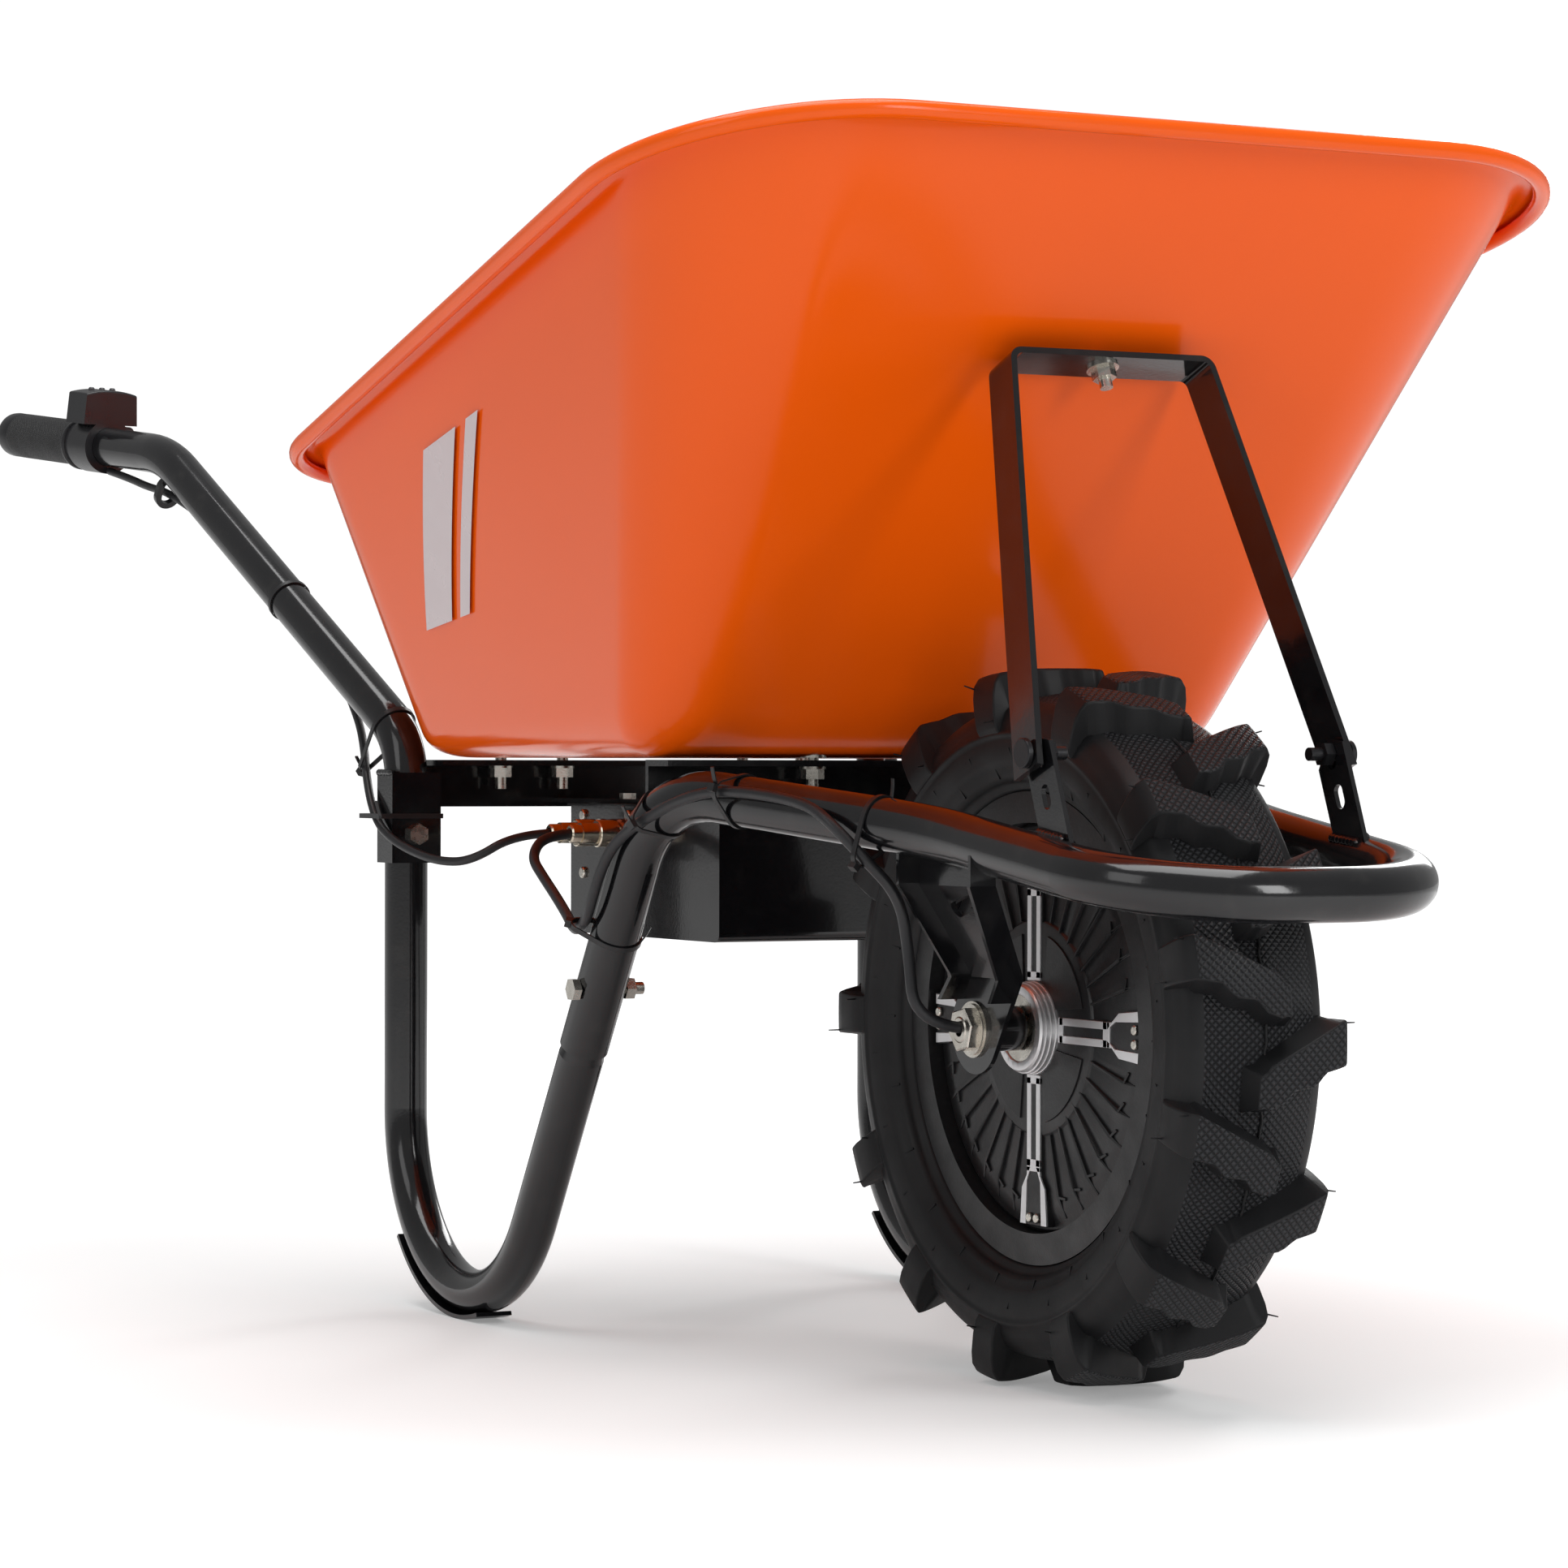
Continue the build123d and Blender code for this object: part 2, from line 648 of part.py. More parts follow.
def fork(side):
    """Joggled channel hanging from the hoop tube, with the axle hole at its lower end."""
    side_view = Plane(origin=(axle_x, 0, 0), x_dir=(1, 0, 0), z_dir=(0, -1, 0))
    with BuildSketch(side_view) as whole:
        Polygon((0, 332), (88, 332), (88, 306), (22.8, 203.1), (0, 217.5), (-19.9, 235.7),
                (-5, 252), (0, 306), align=None)
        with Locations((0, axle_z)):
            Circle(27)
    with BuildSketch(side_view) as edge_band:
        add(whole.sketch_local)
        offset(amount=-plate, mode=Mode.SUBTRACT)
        with Locations((30, 190)):
            Rectangle(300, 90, mode=Mode.SUBTRACT)
        with Locations((30, 340)):
            Rectangle(300, 16, mode=Mode.SUBTRACT)

    def strip(depth):
        front_view = Plane(origin=(axle_x - 100, 0, 0), x_dir=(0, 1, 0), z_dir=(1, 0, 0))
        low, high = side * fork_low_y, side * (fork_low_y + fork_step)
        deep = side * depth
        with BuildPart() as band:
            with BuildSketch(front_view):
                Polygon((low, 180), (low, 250), (high, 306), (high, 345), (high + deep, 345),
                        (high + deep, 305), (low + deep, 249), (low + deep, 180), align=None)
            extrude(amount=300)
        return band.part

    with BuildPart() as web:
        with BuildSketch(side_view):
            add(whole.sketch_local)
            with Locations((0, axle_z)):
                Circle(axle_d / 2 + 0.1, mode=Mode.SUBTRACT)
            with Locations((42, 293)):
                SlotOverall(35, 8.5, rotation=12, mode=Mode.SUBTRACT)
        extrude(amount=150, both=True)
    with BuildPart() as flanges:
        with BuildSketch(side_view):
            add(edge_band.sketch_local)
        extrude(amount=150, both=True)
    body = (web.part & strip(plate)) + (flanges.part & strip(fork_flange))
    body -= tube(hoop_points, hoop_radii, tube_od + 0.1)
    return body.solids().sort_by(SortBy.VOLUME)[-1]


for side, name in ((right, "right"), (left, "left")):
    write(fork(side), f"fork_{name}")

# ---- axle and its hardware ----------------------------------------------------------
axle_y = Plane(origin=(axle_x, 0, axle_z), x_dir=(1, 0, 0), z_dir=(0, -1, 0))   # faces right
with BuildPart() as axle:
    with BuildSketch(axle_y.offset(-axle_half)):
        Circle(axle_d / 2)
    extrude(amount=2 * axle_half)
    chamfer(axle.edges().filter_by(GeomType.CIRCLE), 1.0)
    # bore for the motor cable in the right end
    with BuildSketch(axle_y.offset(axle_half)):
        Circle(4.2)
    extrude(amount=-40, mode=Mode.SUBTRACT)
write(axle.part, "axle")


def at_axle(side, distance):
    return Plane(origin=(axle_x, side * distance, axle_z), x_dir=(1, 0, 0), z_dir=(0, side, 0))


spacers, washers, nuts = [], [], []
fork_outer = fork_low_y + plate
for side in (right, left):
    spacers.append(washer(at_axle(side, 44.0), axle_d + 0.1, 27, fork_low_y - 44.0))
    washers.append(washer(at_axle(side, fork_outer), axle_d + 0.2, 34, 1.8))
    with BuildPart() as flanged:
        with BuildSketch(at_axle(side, fork_outer + 1.8)):
            Circle(15.5)
        extrude(amount=1.6)
        with BuildSketch(at_axle(side, fork_outer + 3.4)):
            RegularPolygon(12, 6, major_radius=False, rotation=12)
        extrude(amount=7.0)
        chamfer(flanged.faces().sort_by(Axis(at_axle(side, 0).origin, (0, side, 0)))[-1].edges(), 0.8)
        with BuildSketch(at_axle(side, fork_outer)):
            Circle(axle_d / 2 + 0.02)
        extrude(amount=30, mode=Mode.SUBTRACT)
    nuts.append(flanged.part)
group(spacers, "axle_spacers")
group(washers, "axle_washers")
group(nuts, "axle_nuts")

# ---- wheel: rim, motor and tyre -----------------------------------------------------
# wheel sections are drawn as (Y, distance from the axle)
section = Plane(origin=(axle_x, 0, axle_z), x_dir=(0, 1, 0), z_dir=(1, 0, 0))
wheel_axis = Axis((axle_x, 0, axle_z), (0, 1, 0))


def turned(points):
    with BuildPart() as body:
        with BuildSketch(section):
            Polygon(*points, align=None)
        revolve(axis=wheel_axis)
    return body.part


rim = turned([(-rim_half, 124), (rim_half, 124), (rim_half, rim_lip_r), (32, rim_lip_r),
              (31, 128.5), (20, 127.5), (-20, 127.5), (-31, 128.5), (-32, rim_lip_r),
              (-rim_half, rim_lip_r)])
write(rim, "rim")

magnet_r = 112.0
write(turned([(-22, magnet_r), (22, magnet_r), (22, 123.9), (-22, 123.9)]), "magnet_ring")

bearing_r = 20.0
hub_end = 43.0
hub_r = 28.3
cover_r = 123.7
cover_in, cover_out = 24.0, 28.5


def cover(side):
    """Recessed end cover of the motor: bearing boss, four arms and cooling ribs."""
    with BuildPart() as body:
        with BuildSketch(section):
            Polygon((side * cover_in, bearing_r + 0.02), (side * hub_end, bearing_r + 0.02),
                    (side * hub_end, hub_r - 3.3), (side * (hub_end - 3), hub_r - 3.3),
                    (side * (hub_end - 3), hub_r), (side * cover_out, hub_r),
                    (side * cover_out, cover_r), (side * cover_in, cover_r), align=None)
        revolve(axis=wheel_axis)
        face = at_axle(side, cover_out)
        with BuildSketch(face):
            for quarter in range(4):
                with Locations(Location((0, 0, 0), (0, 0, 90 * quarter))):
                    with Locations((73, 0)):
                        Rectangle(92, 17)
                    with Locations((90, 0)):
                        SlotOverall(46, 6.5, mode=Mode.SUBTRACT)
        extrude(amount=3.0)
        with BuildSketch(face):
            for quarter in range(4):
                for step in range(7):
                    bearing = 90 * quarter + 18 + 9 * step
                    with Locations(Location((0, 0, 0), (0, 0, bearing))):
                        with Locations((88, 0)):
                            Rectangle(44, 2.2)
        extrude(amount=2.4)
        for quarter in range(4):
            for shift in (-4.2, 4.2):
                hole = face.offset(3.0)
                angle = radians(90 * quarter)
                spot = hole.from_local_coords((115 * cos(angle) - shift * sin(angle),
                                               115 * sin(angle) + shift * cos(angle), 0))
                with BuildSketch(Plane(origin=spot, z_dir=face.z_dir)):
                    Circle(1.6)
                extrude(amount=-9, mode=Mode.SUBTRACT)
    return body.part


cover_screws = []
for side, name in ((right, "right"), (left, "left")):
    write(cover(side), f"cover_{name}")
    face = at_axle(side, cover_out + 3.0)
    for quarter in range(4):
        angle = radians(90 * quarter)
        for shift in (-4.2, 4.2):
            spot = face.from_local_coords((115 * cos(angle) - shift * sin(angle),
                                           115 * sin(angle) + shift * cos(angle), 0))
            cover_screws.append(pan_screw(Plane(origin=spot, z_dir=face.z_dir), 3, 7))
group(cover_screws, "cover_screws")

bearings = {}
for side, name in ((right, "right"), (left, "left")):
    bearing = washer(at_axle(side, 30.0), axle_d + 0.1, 2 * bearing_r, 12)
    write(bearing, f"bearing_{name}")

stator = washer(at_axle(right, -20.0), axle_d + 0.02, 2 * (magnet_r - 1.0), 40)
write(stator, "stator")
windings = []
for side in (right, left):
    for tooth in range(18):
        angle = 2 * pi * tooth / 18
        spot = at_axle(side, 20.0).from_local_coords((92 * cos(angle), 92 * sin(angle), 0))
        radial = at_axle(side, 0).x_dir * cos(angle) + at_axle(side, 0).y_dir * sin(angle)
        with BuildPart() as coil:
            with BuildSketch(Plane(origin=spot, x_dir=radial, z_dir=(0, side, 0))):
                Rectangle(26, 18)
            extrude(amount=2.6)
        windings.append(coil.part)
group(windings, "windings")

# tyre: hollow carcass with chevron lugs, thirteen on each side, half a pitch apart
with BuildPart() as tyre:
    with BuildSketch(section):
        with BuildLine():
            Polyline((24.5, 128.8), (30.6, 128.8), (31.5, 143.4), (35.6, 143.8))
            Spline((35.6, 143.8), (40, 148), (46, 157), (50.2, 174), (47, 191), (30, 200), (0, carcass_r))
            Line((0, carcass_r), (0, 196))
            Spline((0, 196), (22, 194), (36, 188.5), (42.5, 174), (38, 158), (25, 143))
            Line((25, 143), (24.5, 128.8))
        make_face()
        mirror(about=Plane.YZ)
    revolve(axis=wheel_axis)
carcass = tyre.part

with BuildPart() as lug_ring:
    with BuildSketch(section):
        Polygon((-12, carcass_r - 3), (30, 198), (44, 190), (47, 178), (54, 181), (54, 206),
                (48, 215), (30, tyre_r), (-12, tyre_r), align=None)
    revolve(axis=wheel_axis)


def lug(angle, side):
    """One bar of the tread, from a shoulder to just past the middle of the tyre."""
    outward = Vector(cos(radians(angle)), 0, sin(radians(angle)))
    ahead = Vector(-sin(radians(angle)), 0, cos(radians(angle)))
    flat = Plane(origin=Vector(axle_x, 0, axle_z) + outward * 172, x_dir=ahead, z_dir=outward)
    over = side * flat.y_dir.Y
    with BuildPart() as bar:
        with BuildSketch(flat):
            Polygon((-15.5, 56 * over), (15.5, 56 * over), (15.5, 44 * over), (-14, -8 * over),
                    (-20, -10.5 * over), (-40, -10.5 * over), (-43, -5 * over), (-39, 6 * over),
                    (-15.5, 44 * over), align=None)
        extrude(amount=60)
    return bar.part


ring_left = lug_ring.part
ring_right = mirror(ring_left, about=Plane.XZ)
pitch = 360 / lug_count
lugs = []
for index in range(lug_count):
    lugs.append(lug(pitch * index, left) & ring_left)
    lugs.append(lug(pitch * (index + 0.5), right) & ring_right)
tyre_body = carcass.fuse(*lugs)
write(tyre_body, "tyre")


# ---- battery case under the tray ----------------------------------------------------
case_back, case_front = axle_x - 534.0, axle_x - 305.0
case_low, case_high = 259.0, 349.0
sheet = 1.5
case_mid = (case_back + case_front) / 2
case_long = case_front - case_back
connector_z = 329.0
motor_plug_x, throttle_plug_x = axle_x - 447.0, axle_x - 480.0
plate_x, plate_z = axle_x - 472.0, 321.0
hanger_y = 60.0
hanger_t = 3.0
hanger_ends = (rear_rail_x + rail_t, front_rail_x)     # welded between the two rails
hanger_bolt_x = (axle_x - 505.0, axle_x - 335.0)
plug_bore = 16.4

with BuildPart() as case_body:
    with Locations((case_mid, 0, case_low)):
        Box(case_long, 2 * case_y, case_high - sheet - case_low,
            align=(Align.CENTER, Align.CENTER, Align.MIN))
    fillet(case_body.edges().filter_by(Axis.Y).group_by(Axis.Z)[0], 6)
    with Locations((case_mid, 0, case_low + sheet)):
        Box(case_long - 2 * sheet, 2 * (case_y - sheet), case_high,
            align=(Align.CENTER, Align.CENTER, Align.MIN), mode=Mode.SUBTRACT)
body = case_body.part
for x in (motor_plug_x, throttle_plug_x):
    body -= rod(across(x, -case_y, connector_z, right), plug_bore, -10, 10)
plate_corners = [(plate_x + dx, plate_z + dz) for dx in (-36, 36) for dz in (-20, 20)]
for x, z in plate_corners:
    body -= rod(across(x, -case_y, z, right), 4.1, -10, 10)
write(body, "case_body")

with BuildPart() as case_lid:
    with Locations((case_mid, 0, case_high - sheet)):
        Box(case_long + 4, 2 * case_y + 4, sheet, align=(Align.CENTER, Align.CENTER, Align.MIN))
lid = case_lid.part
for x in hanger_bolt_x:
    for side in (right, left):
        lid -= rod(Plane(origin=(x, side * hanger_y, case_high)), 6.4, -5, 5)
write(lid, "case_lid")

connector_plate = Box(84, 2, 50).moved(Location((plate_x, -case_y - 1.05, plate_z)))
for x in (motor_plug_x, throttle_plug_x):
    connector_plate -= rod(across(x, -case_y, connector_z, right), plug_bore, -10, 10)
for x, z in plate_corners:
    connector_plate -= rod(across(x, -case_y, z, right), 4.1, -10, 10)
write(connector_plate, "connector_plate")

hangers, hanger_bolts = [], []
for side in (right, left):
    bar = Box(hanger_ends[1] - hanger_ends[0], 25, hanger_t).moved(Location((
        (hanger_ends[0] + hanger_ends[1]) / 2, side * hanger_y, case_high + hanger_t / 2 + 0.05)))
    for x in hanger_bolt_x:
        bar -= rod(Plane(origin=(x, side * hanger_y, case_high)), 6.4, -5, 10)
        seat = Plane(origin=(x, side * hanger_y, case_high + hanger_t + 0.1))
        hanger_bolts.append(hex_bolt(seat, 6, 18))
        under = Plane(origin=(x, side * hanger_y, case_high - sheet - 0.1), z_dir=(0, 0, -1))
        hanger_bolts.append(nut(under, 6))
    hangers.append(bar)
group(hangers, "case_hangers")
group(hanger_bolts, "hanger_bolts")

battery = Box(200, 112, 62).moved(Location((case_mid, 28, case_low + sheet + 31.2)))
write(fillet(battery.edges().filter_by(Axis.Y), 8), "battery_pack")
controller = Box(112, 34, 58).moved(Location((case_mid + 48, -62, case_low + sheet + 29.2)))
write(chamfer(controller.edges().filter_by(Axis.X), 4), "controller")


def connector(x, label):
    """Round threaded socket with a flange, and the cable's coupling nut over it."""
    with BuildPart() as socket:
        face = across(x, -case_y - 2.2, connector_z, right)
        with BuildSketch(face.offset(-10)):
            Circle(8)
        extrude(amount=10)
        with BuildSketch(face):
            Circle(9.6)
        extrude(amount=2)
        with BuildSketch(face.offset(2)):
            Circle(7.6)
        extrude(amount=4)
        with BuildSketch(face.offset(6)):
            Circle(9.4)
        extrude(amount=14)
        chamfer(socket.faces().sort_by(Axis.Y)[0].edges(), 0.8)
        with BuildSketch(face.offset(20)):
            Circle(7.2)
        extrude(amount=12)
        with BuildSketch(face.offset(32)):
            Circle(6.2)
        extrude(amount=8)
        chamfer(socket.faces().sort_by(Axis.Y)[0].edges(), 1.0)
        with BuildSketch(face.offset(40)):
            Circle(3.8)
        extrude(amount=-14, mode=Mode.SUBTRACT)
    write(socket.part, label)


connector(motor_plug_x, "motor_connector")
connector(throttle_plug_x, "throttle_connector")
plate_seat = [Plane(origin=(x, -case_y - 2.2, z), z_dir=(0, -1, 0)) for x, z in plate_corners]
group([pan_screw(seat, 4, 8) for seat in plate_seat], "plate_screws")

# ---- bolts of the frame -------------------------------------------------------------
joint_hardware, bracket_hardware, tray_hardware = [], [], []
for side in (right, left):
    seat = leg_joint_plane(side)
    joint_hardware.append(hex_bolt(seat, 8, tube_od + 14))
    inside = Plane(origin=seat.origin - seat.z_dir * (tube_od + 0.4), x_dir=seat.x_dir, z_dir=-seat.z_dir)
    joint_hardware.append(nut(inside, 8) - rod(seat, 8.02, -60, 0))
    seat = bracket_bolt_plane(side).offset(0.05)
    bracket_hardware.append(hex_bolt(seat, 8, 46))
    behind = Plane(origin=seat.origin - seat.z_dir * (plate + 0.6 + leg_od), z_dir=-seat.z_dir)
    bracket_hardware.append(nut(behind, 8) - rod(seat, 8.02, -60, 0))
for x, y in tray_bolts:
    top = Plane(origin=(x, y, floor_z + tray_t + 0.05))
    tray_hardware.append(carriage_bolt(top, 8, 22))
    under = Plane(origin=(x, y, floor_z - rail_t - 0.05), z_dir=(0, 0, -1))
    tray_hardware.append(washer(under, 8.4, 17, 1.6))
    tray_hardware.append(nut(under.offset(1.65), 8) - rod(top, 8.02, -40, 0))
group(joint_hardware, "leg_joint_bolts")
group(bracket_hardware, "bracket_bolts")
group(tray_hardware, "tray_bolts")


# ---- cables -------------------------------------------------------------------------
def cable(points, diameter, name):
    """Cable along hand picked points, with the widest bend that each corner allows."""
    spots = [Vector(axle_x + x, y, z) for x, y, z in points]
    radii = []
    for before, corner, after in zip(spots, spots[1:], spots[2:]):
        arriving, leaving = corner - before, after - corner
        turn = radians(arriving.get_angle(leaving))
        shorter = min(arriving.length, leaving.length)
        radii.append(min(0.45 * shorter / tan(turn / 2), 400.0))
    print(name, [round(radius) for radius in radii])
    return tube([tuple(spot) for spot in spots], radii, diameter)


harness_d, motor_d = 6.0, 7.0
# throttle housing, hook, along the handle, past the bracket, throttle socket
harness_points = [
    (-1047, -247.6, 604.3), (-1015, -243.5, 597.5), (-983, -239.5, 589), (-951, -235, 583.5),
    (-914, -220, 563), (-865, -210.5, 538), (-813, -203, 508), (-755, -195, 472), (-707, -190, 434),
    (-678, -190, 406), (-652, -197, 386), (-627, -206, 369), (-606, -211.5, 350),
    (-592, -212, 335), (-573, -211, 325), (-545, -207, 316), (-513, -199, 309),
    (-488, -186, 310), (-480, -158, 328), (-480, -128, 329),
]
# motor socket, up the hoop tube, along it, down behind the fork, into the axle
motor_points = [
    (-447, -126, 329), (-447.2, -150, 328.4), (-436, -166, 314), (-408, -169, 300), (-375, -175, 288),
    (-340, -184, 278), (-305, -196, 271), (-277, -206, 270), (-252, -211.5, 277),
    (-239, -213, 293), (-229, -212.5, 309), (-217, -210.5, 324), (-199, -206.5, 336),
    (-177, -201, 345), (-156, -196, 353), (-130, -188, 359.5), (-100, -178, 359.5),
    (-67, -168, 356), (-42, -162, 351), (-24, -157, 340), (-12, -143, 321),
    (-9, -120, 298), (-8.5, -114, 268), (0, -114, 217.5), (0, -63.5, 217.5),
]
write(cable(harness_points, harness_d, "harness"), "harness_cable")
write(cable(motor_points, motor_d, "motor cable"), "motor_cable")
motor_clearance = cable(motor_points, motor_d + 0.4, "motor cable clearance")


# ---- cable ties ---------------------------------------------------------------------
def centre_line(points, radii):
    with BuildLine() as path:
        FilletPolyline(*points, radius=radii)
    return path.wire()


def stadium(big_r, small_r, gap, mode):
    """Outline of a strap pulled tight round two circles."""
    lean_in = (big_r - small_r) / gap
    rise = sqrt(1 - lean_in**2)
    Circle(big_r, mode=mode)
    with Locations((gap, 0)):
        Circle(small_r, mode=mode)
    Polygon((big_r * lean_in, -big_r * rise), (gap + small_r * lean_in, -small_r * rise),
            (gap + small_r * lean_in, small_r * rise), (big_r * lean_in, big_r * rise),
            align=None, mode=mode)


def tie(tube_wire, share, tube_r, cable_points, cable_r):
    """Plastic tie round a tube and the cable beside it, with its square head."""
    middle, along = tube_wire @ share, tube_wire % share
    spots = [Vector(axle_x + x, y, z) for x, y, z in cable_points]
    nearest = None
    for before, after in zip(spots, spots[1:]):
        ahead, behind = (after - middle).dot(along), (before - middle).dot(along)
        if ahead * behind <= 0 and (before - middle).length < 60:
            nearest = before + (after - before) * (behind / (behind - ahead))
    toward = nearest - middle
    gap = toward.length
    across_tube = Plane(origin=middle, x_dir=toward, z_dir=along)
    with BuildPart() as loop:
        with BuildSketch(across_tube):
            stadium(tube_r + 1.3, cable_r + 1.7, gap, Mode.ADD)
            stadium(tube_r + 0.2, cable_r + 0.6, gap, Mode.SUBTRACT)
        extrude(amount=1.7, both=True)
        with BuildSketch(across_tube.offset(-2.6)):
            with Locations((gap + cable_r + 3.0, 0)):
                Rectangle(3.8, 5)
        extrude(amount=5.2)
    return loop.part


handle_line = centre_line(handle_points, [52, 120])
hoop_line = centre_line(hoop_points, hoop_radii)
ties = [tie(handle_line, share, leg_od / 2, harness_points, harness_d / 2 + 0.4) for share in (0.085, 0.33)]
ties += [tie(hoop_line, share, tube_od / 2, motor_points, motor_d / 2 + 2.2)
         for share in (0.06, 0.13, 0.182, 0.262)]
# square tie round the bracket and the cable passing it
with BuildPart() as bracket_tie:
    with BuildSketch(Plane.XY.offset(338)):
        with Locations((leg_x + 0.9, -leg_y - 4.2)):
            RectangleRounded(38.6, 48.8, 2)
            RectangleRounded(36.2, 46.4, 1, mode=Mode.SUBTRACT)
    extrude(amount=3.4)
ties.append(bracket_tie.part)
ties = [max((one - motor_clearance).solids(), key=lambda solid: solid.volume) for one in ties]
group(ties, "cable_ties")
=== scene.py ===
"""Looks of the powered wheelbarrow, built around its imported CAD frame. Lengths are metres."""

import math

import bmesh
import bpy
from mathutils import Matrix, Vector


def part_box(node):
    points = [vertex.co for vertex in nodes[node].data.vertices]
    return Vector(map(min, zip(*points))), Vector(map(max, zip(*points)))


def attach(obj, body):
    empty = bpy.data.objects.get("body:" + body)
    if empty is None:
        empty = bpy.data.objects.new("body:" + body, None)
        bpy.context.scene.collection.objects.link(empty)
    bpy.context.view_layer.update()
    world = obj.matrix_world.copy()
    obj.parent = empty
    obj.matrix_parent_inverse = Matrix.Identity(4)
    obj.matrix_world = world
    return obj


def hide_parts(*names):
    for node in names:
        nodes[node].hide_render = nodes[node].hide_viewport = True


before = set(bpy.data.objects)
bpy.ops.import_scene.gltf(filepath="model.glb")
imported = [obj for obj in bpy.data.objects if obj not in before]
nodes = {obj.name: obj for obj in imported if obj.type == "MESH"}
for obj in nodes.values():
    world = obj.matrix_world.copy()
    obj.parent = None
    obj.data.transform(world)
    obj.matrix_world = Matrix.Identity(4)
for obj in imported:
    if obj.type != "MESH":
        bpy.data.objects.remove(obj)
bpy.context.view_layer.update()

MM = 0.001
axle_low, axle_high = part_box("axle")
AXLE = (axle_low + axle_high) / 2           # middle of the wheel
UP = Vector((0, 0, 1))


def mm(x, y, z):
    """A point given in millimetres from the ground under the axle."""
    return Vector((AXLE.x + x * MM, y * MM, z * MM))


# ---- meshes -------------------------------------------------------------------------
def add_mesh(name, vertices, faces, material, body, smooth=True):
    """A new object from points and faces, riding on a body if one is given."""
    mesh = bpy.data.meshes.new(name)
    mesh.from_pydata([tuple(v) for v in vertices], [], faces)
    mesh.validate()
    mesh.update()
    piece = bpy.data.objects.new(name, mesh)
    bpy.context.scene.collection.objects.link(piece)
    if smooth:
        shade_smooth(piece)
    if material is not None:
        mesh.materials.append(material)
    if body:
        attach(piece, body)
    return piece


def apply_modifiers(piece):
    """Leaves the piece with the mesh its modifiers make, and no modifiers."""
    bpy.context.view_layer.update()
    graph = bpy.context.evaluated_depsgraph_get()
    shaped = bpy.data.meshes.new_from_object(piece.evaluated_get(graph))
    piece.modifiers.clear()
    piece.data = shaped


def shade_smooth(piece):
    piece.data.polygons.foreach_set("use_smooth", [True] * len(piece.data.polygons))


def fix_normals(piece):
    """Turns every face outwards."""
    mesh = bmesh.new()
    mesh.from_mesh(piece.data)
    bmesh.ops.recalc_face_normals(mesh, faces=mesh.faces)
    mesh.to_mesh(piece.data)
    mesh.free()


def sharpen(piece, angle):
    """Marks the edges that turn sharply, so smooth shading stops there."""
    mesh = bmesh.new()
    mesh.from_mesh(piece.data)
    for edge in mesh.edges:
        if len(edge.link_faces) == 2:
            edge.smooth = edge.calc_face_angle() < math.radians(angle)
    mesh.to_mesh(piece.data)
    mesh.free()


def bevel(piece, width, segments, angle):
    """Adds a bevel to the edges that turn by more than an angle in degrees."""
    modifier = piece.modifiers.new("bevel", "BEVEL")
    modifier.width = width
    modifier.segments = segments
    modifier.limit_method = "ANGLE"
    modifier.angle_limit = math.radians(angle)
    modifier.harden_normals = True


def strip_faces(rows, columns, closed, start=0):
    """Quads between rows of points. A closed row joins its last point to its first."""
    faces = []
    last = columns if closed else columns - 1
    for row in range(rows - 1):
        for column in range(last):
            beside = (column + 1) % columns
            low, high = start + row * columns, start + (row + 1) * columns
            faces.append((low + column, low + beside, high + beside, high + column))
    return faces


def frame_of(direction):
    """Two directions across a given one."""
    direction = direction.normalized()
    side = direction.cross(UP)
    if side.length < 0.01:                  # the direction is upright
        side = direction.cross(Vector((1, 0, 0)))
    side.normalize()
    return side, side.cross(direction)


def lathe(centre, direction, profile, segments):
    """Vertices and faces of a profile of (radius, distance) in mm, turned about a line."""
    side, rise = frame_of(direction)
    axis = direction.normalized()
    vertices = []
    for radius, distance in profile:
        for step in range(segments):
            angle = 2 * math.pi * step / segments
            around = side * math.cos(angle) + rise * math.sin(angle)
            vertices.append(centre + axis * (distance * MM) + around * (radius * MM))
    return vertices, strip_faces(len(profile), segments, True)


def join_parts(name, parts, material, body, smooth=True):
    """One piece from several (vertices, faces) pairs."""
    vertices, faces = [], []
    for part_vertices, part_faces in parts:
        start = len(vertices)
        vertices.extend(part_vertices)
        faces.extend(tuple(index + start for index in face) for face in part_faces)
    return add_mesh(name, vertices, faces, material, body, smooth)


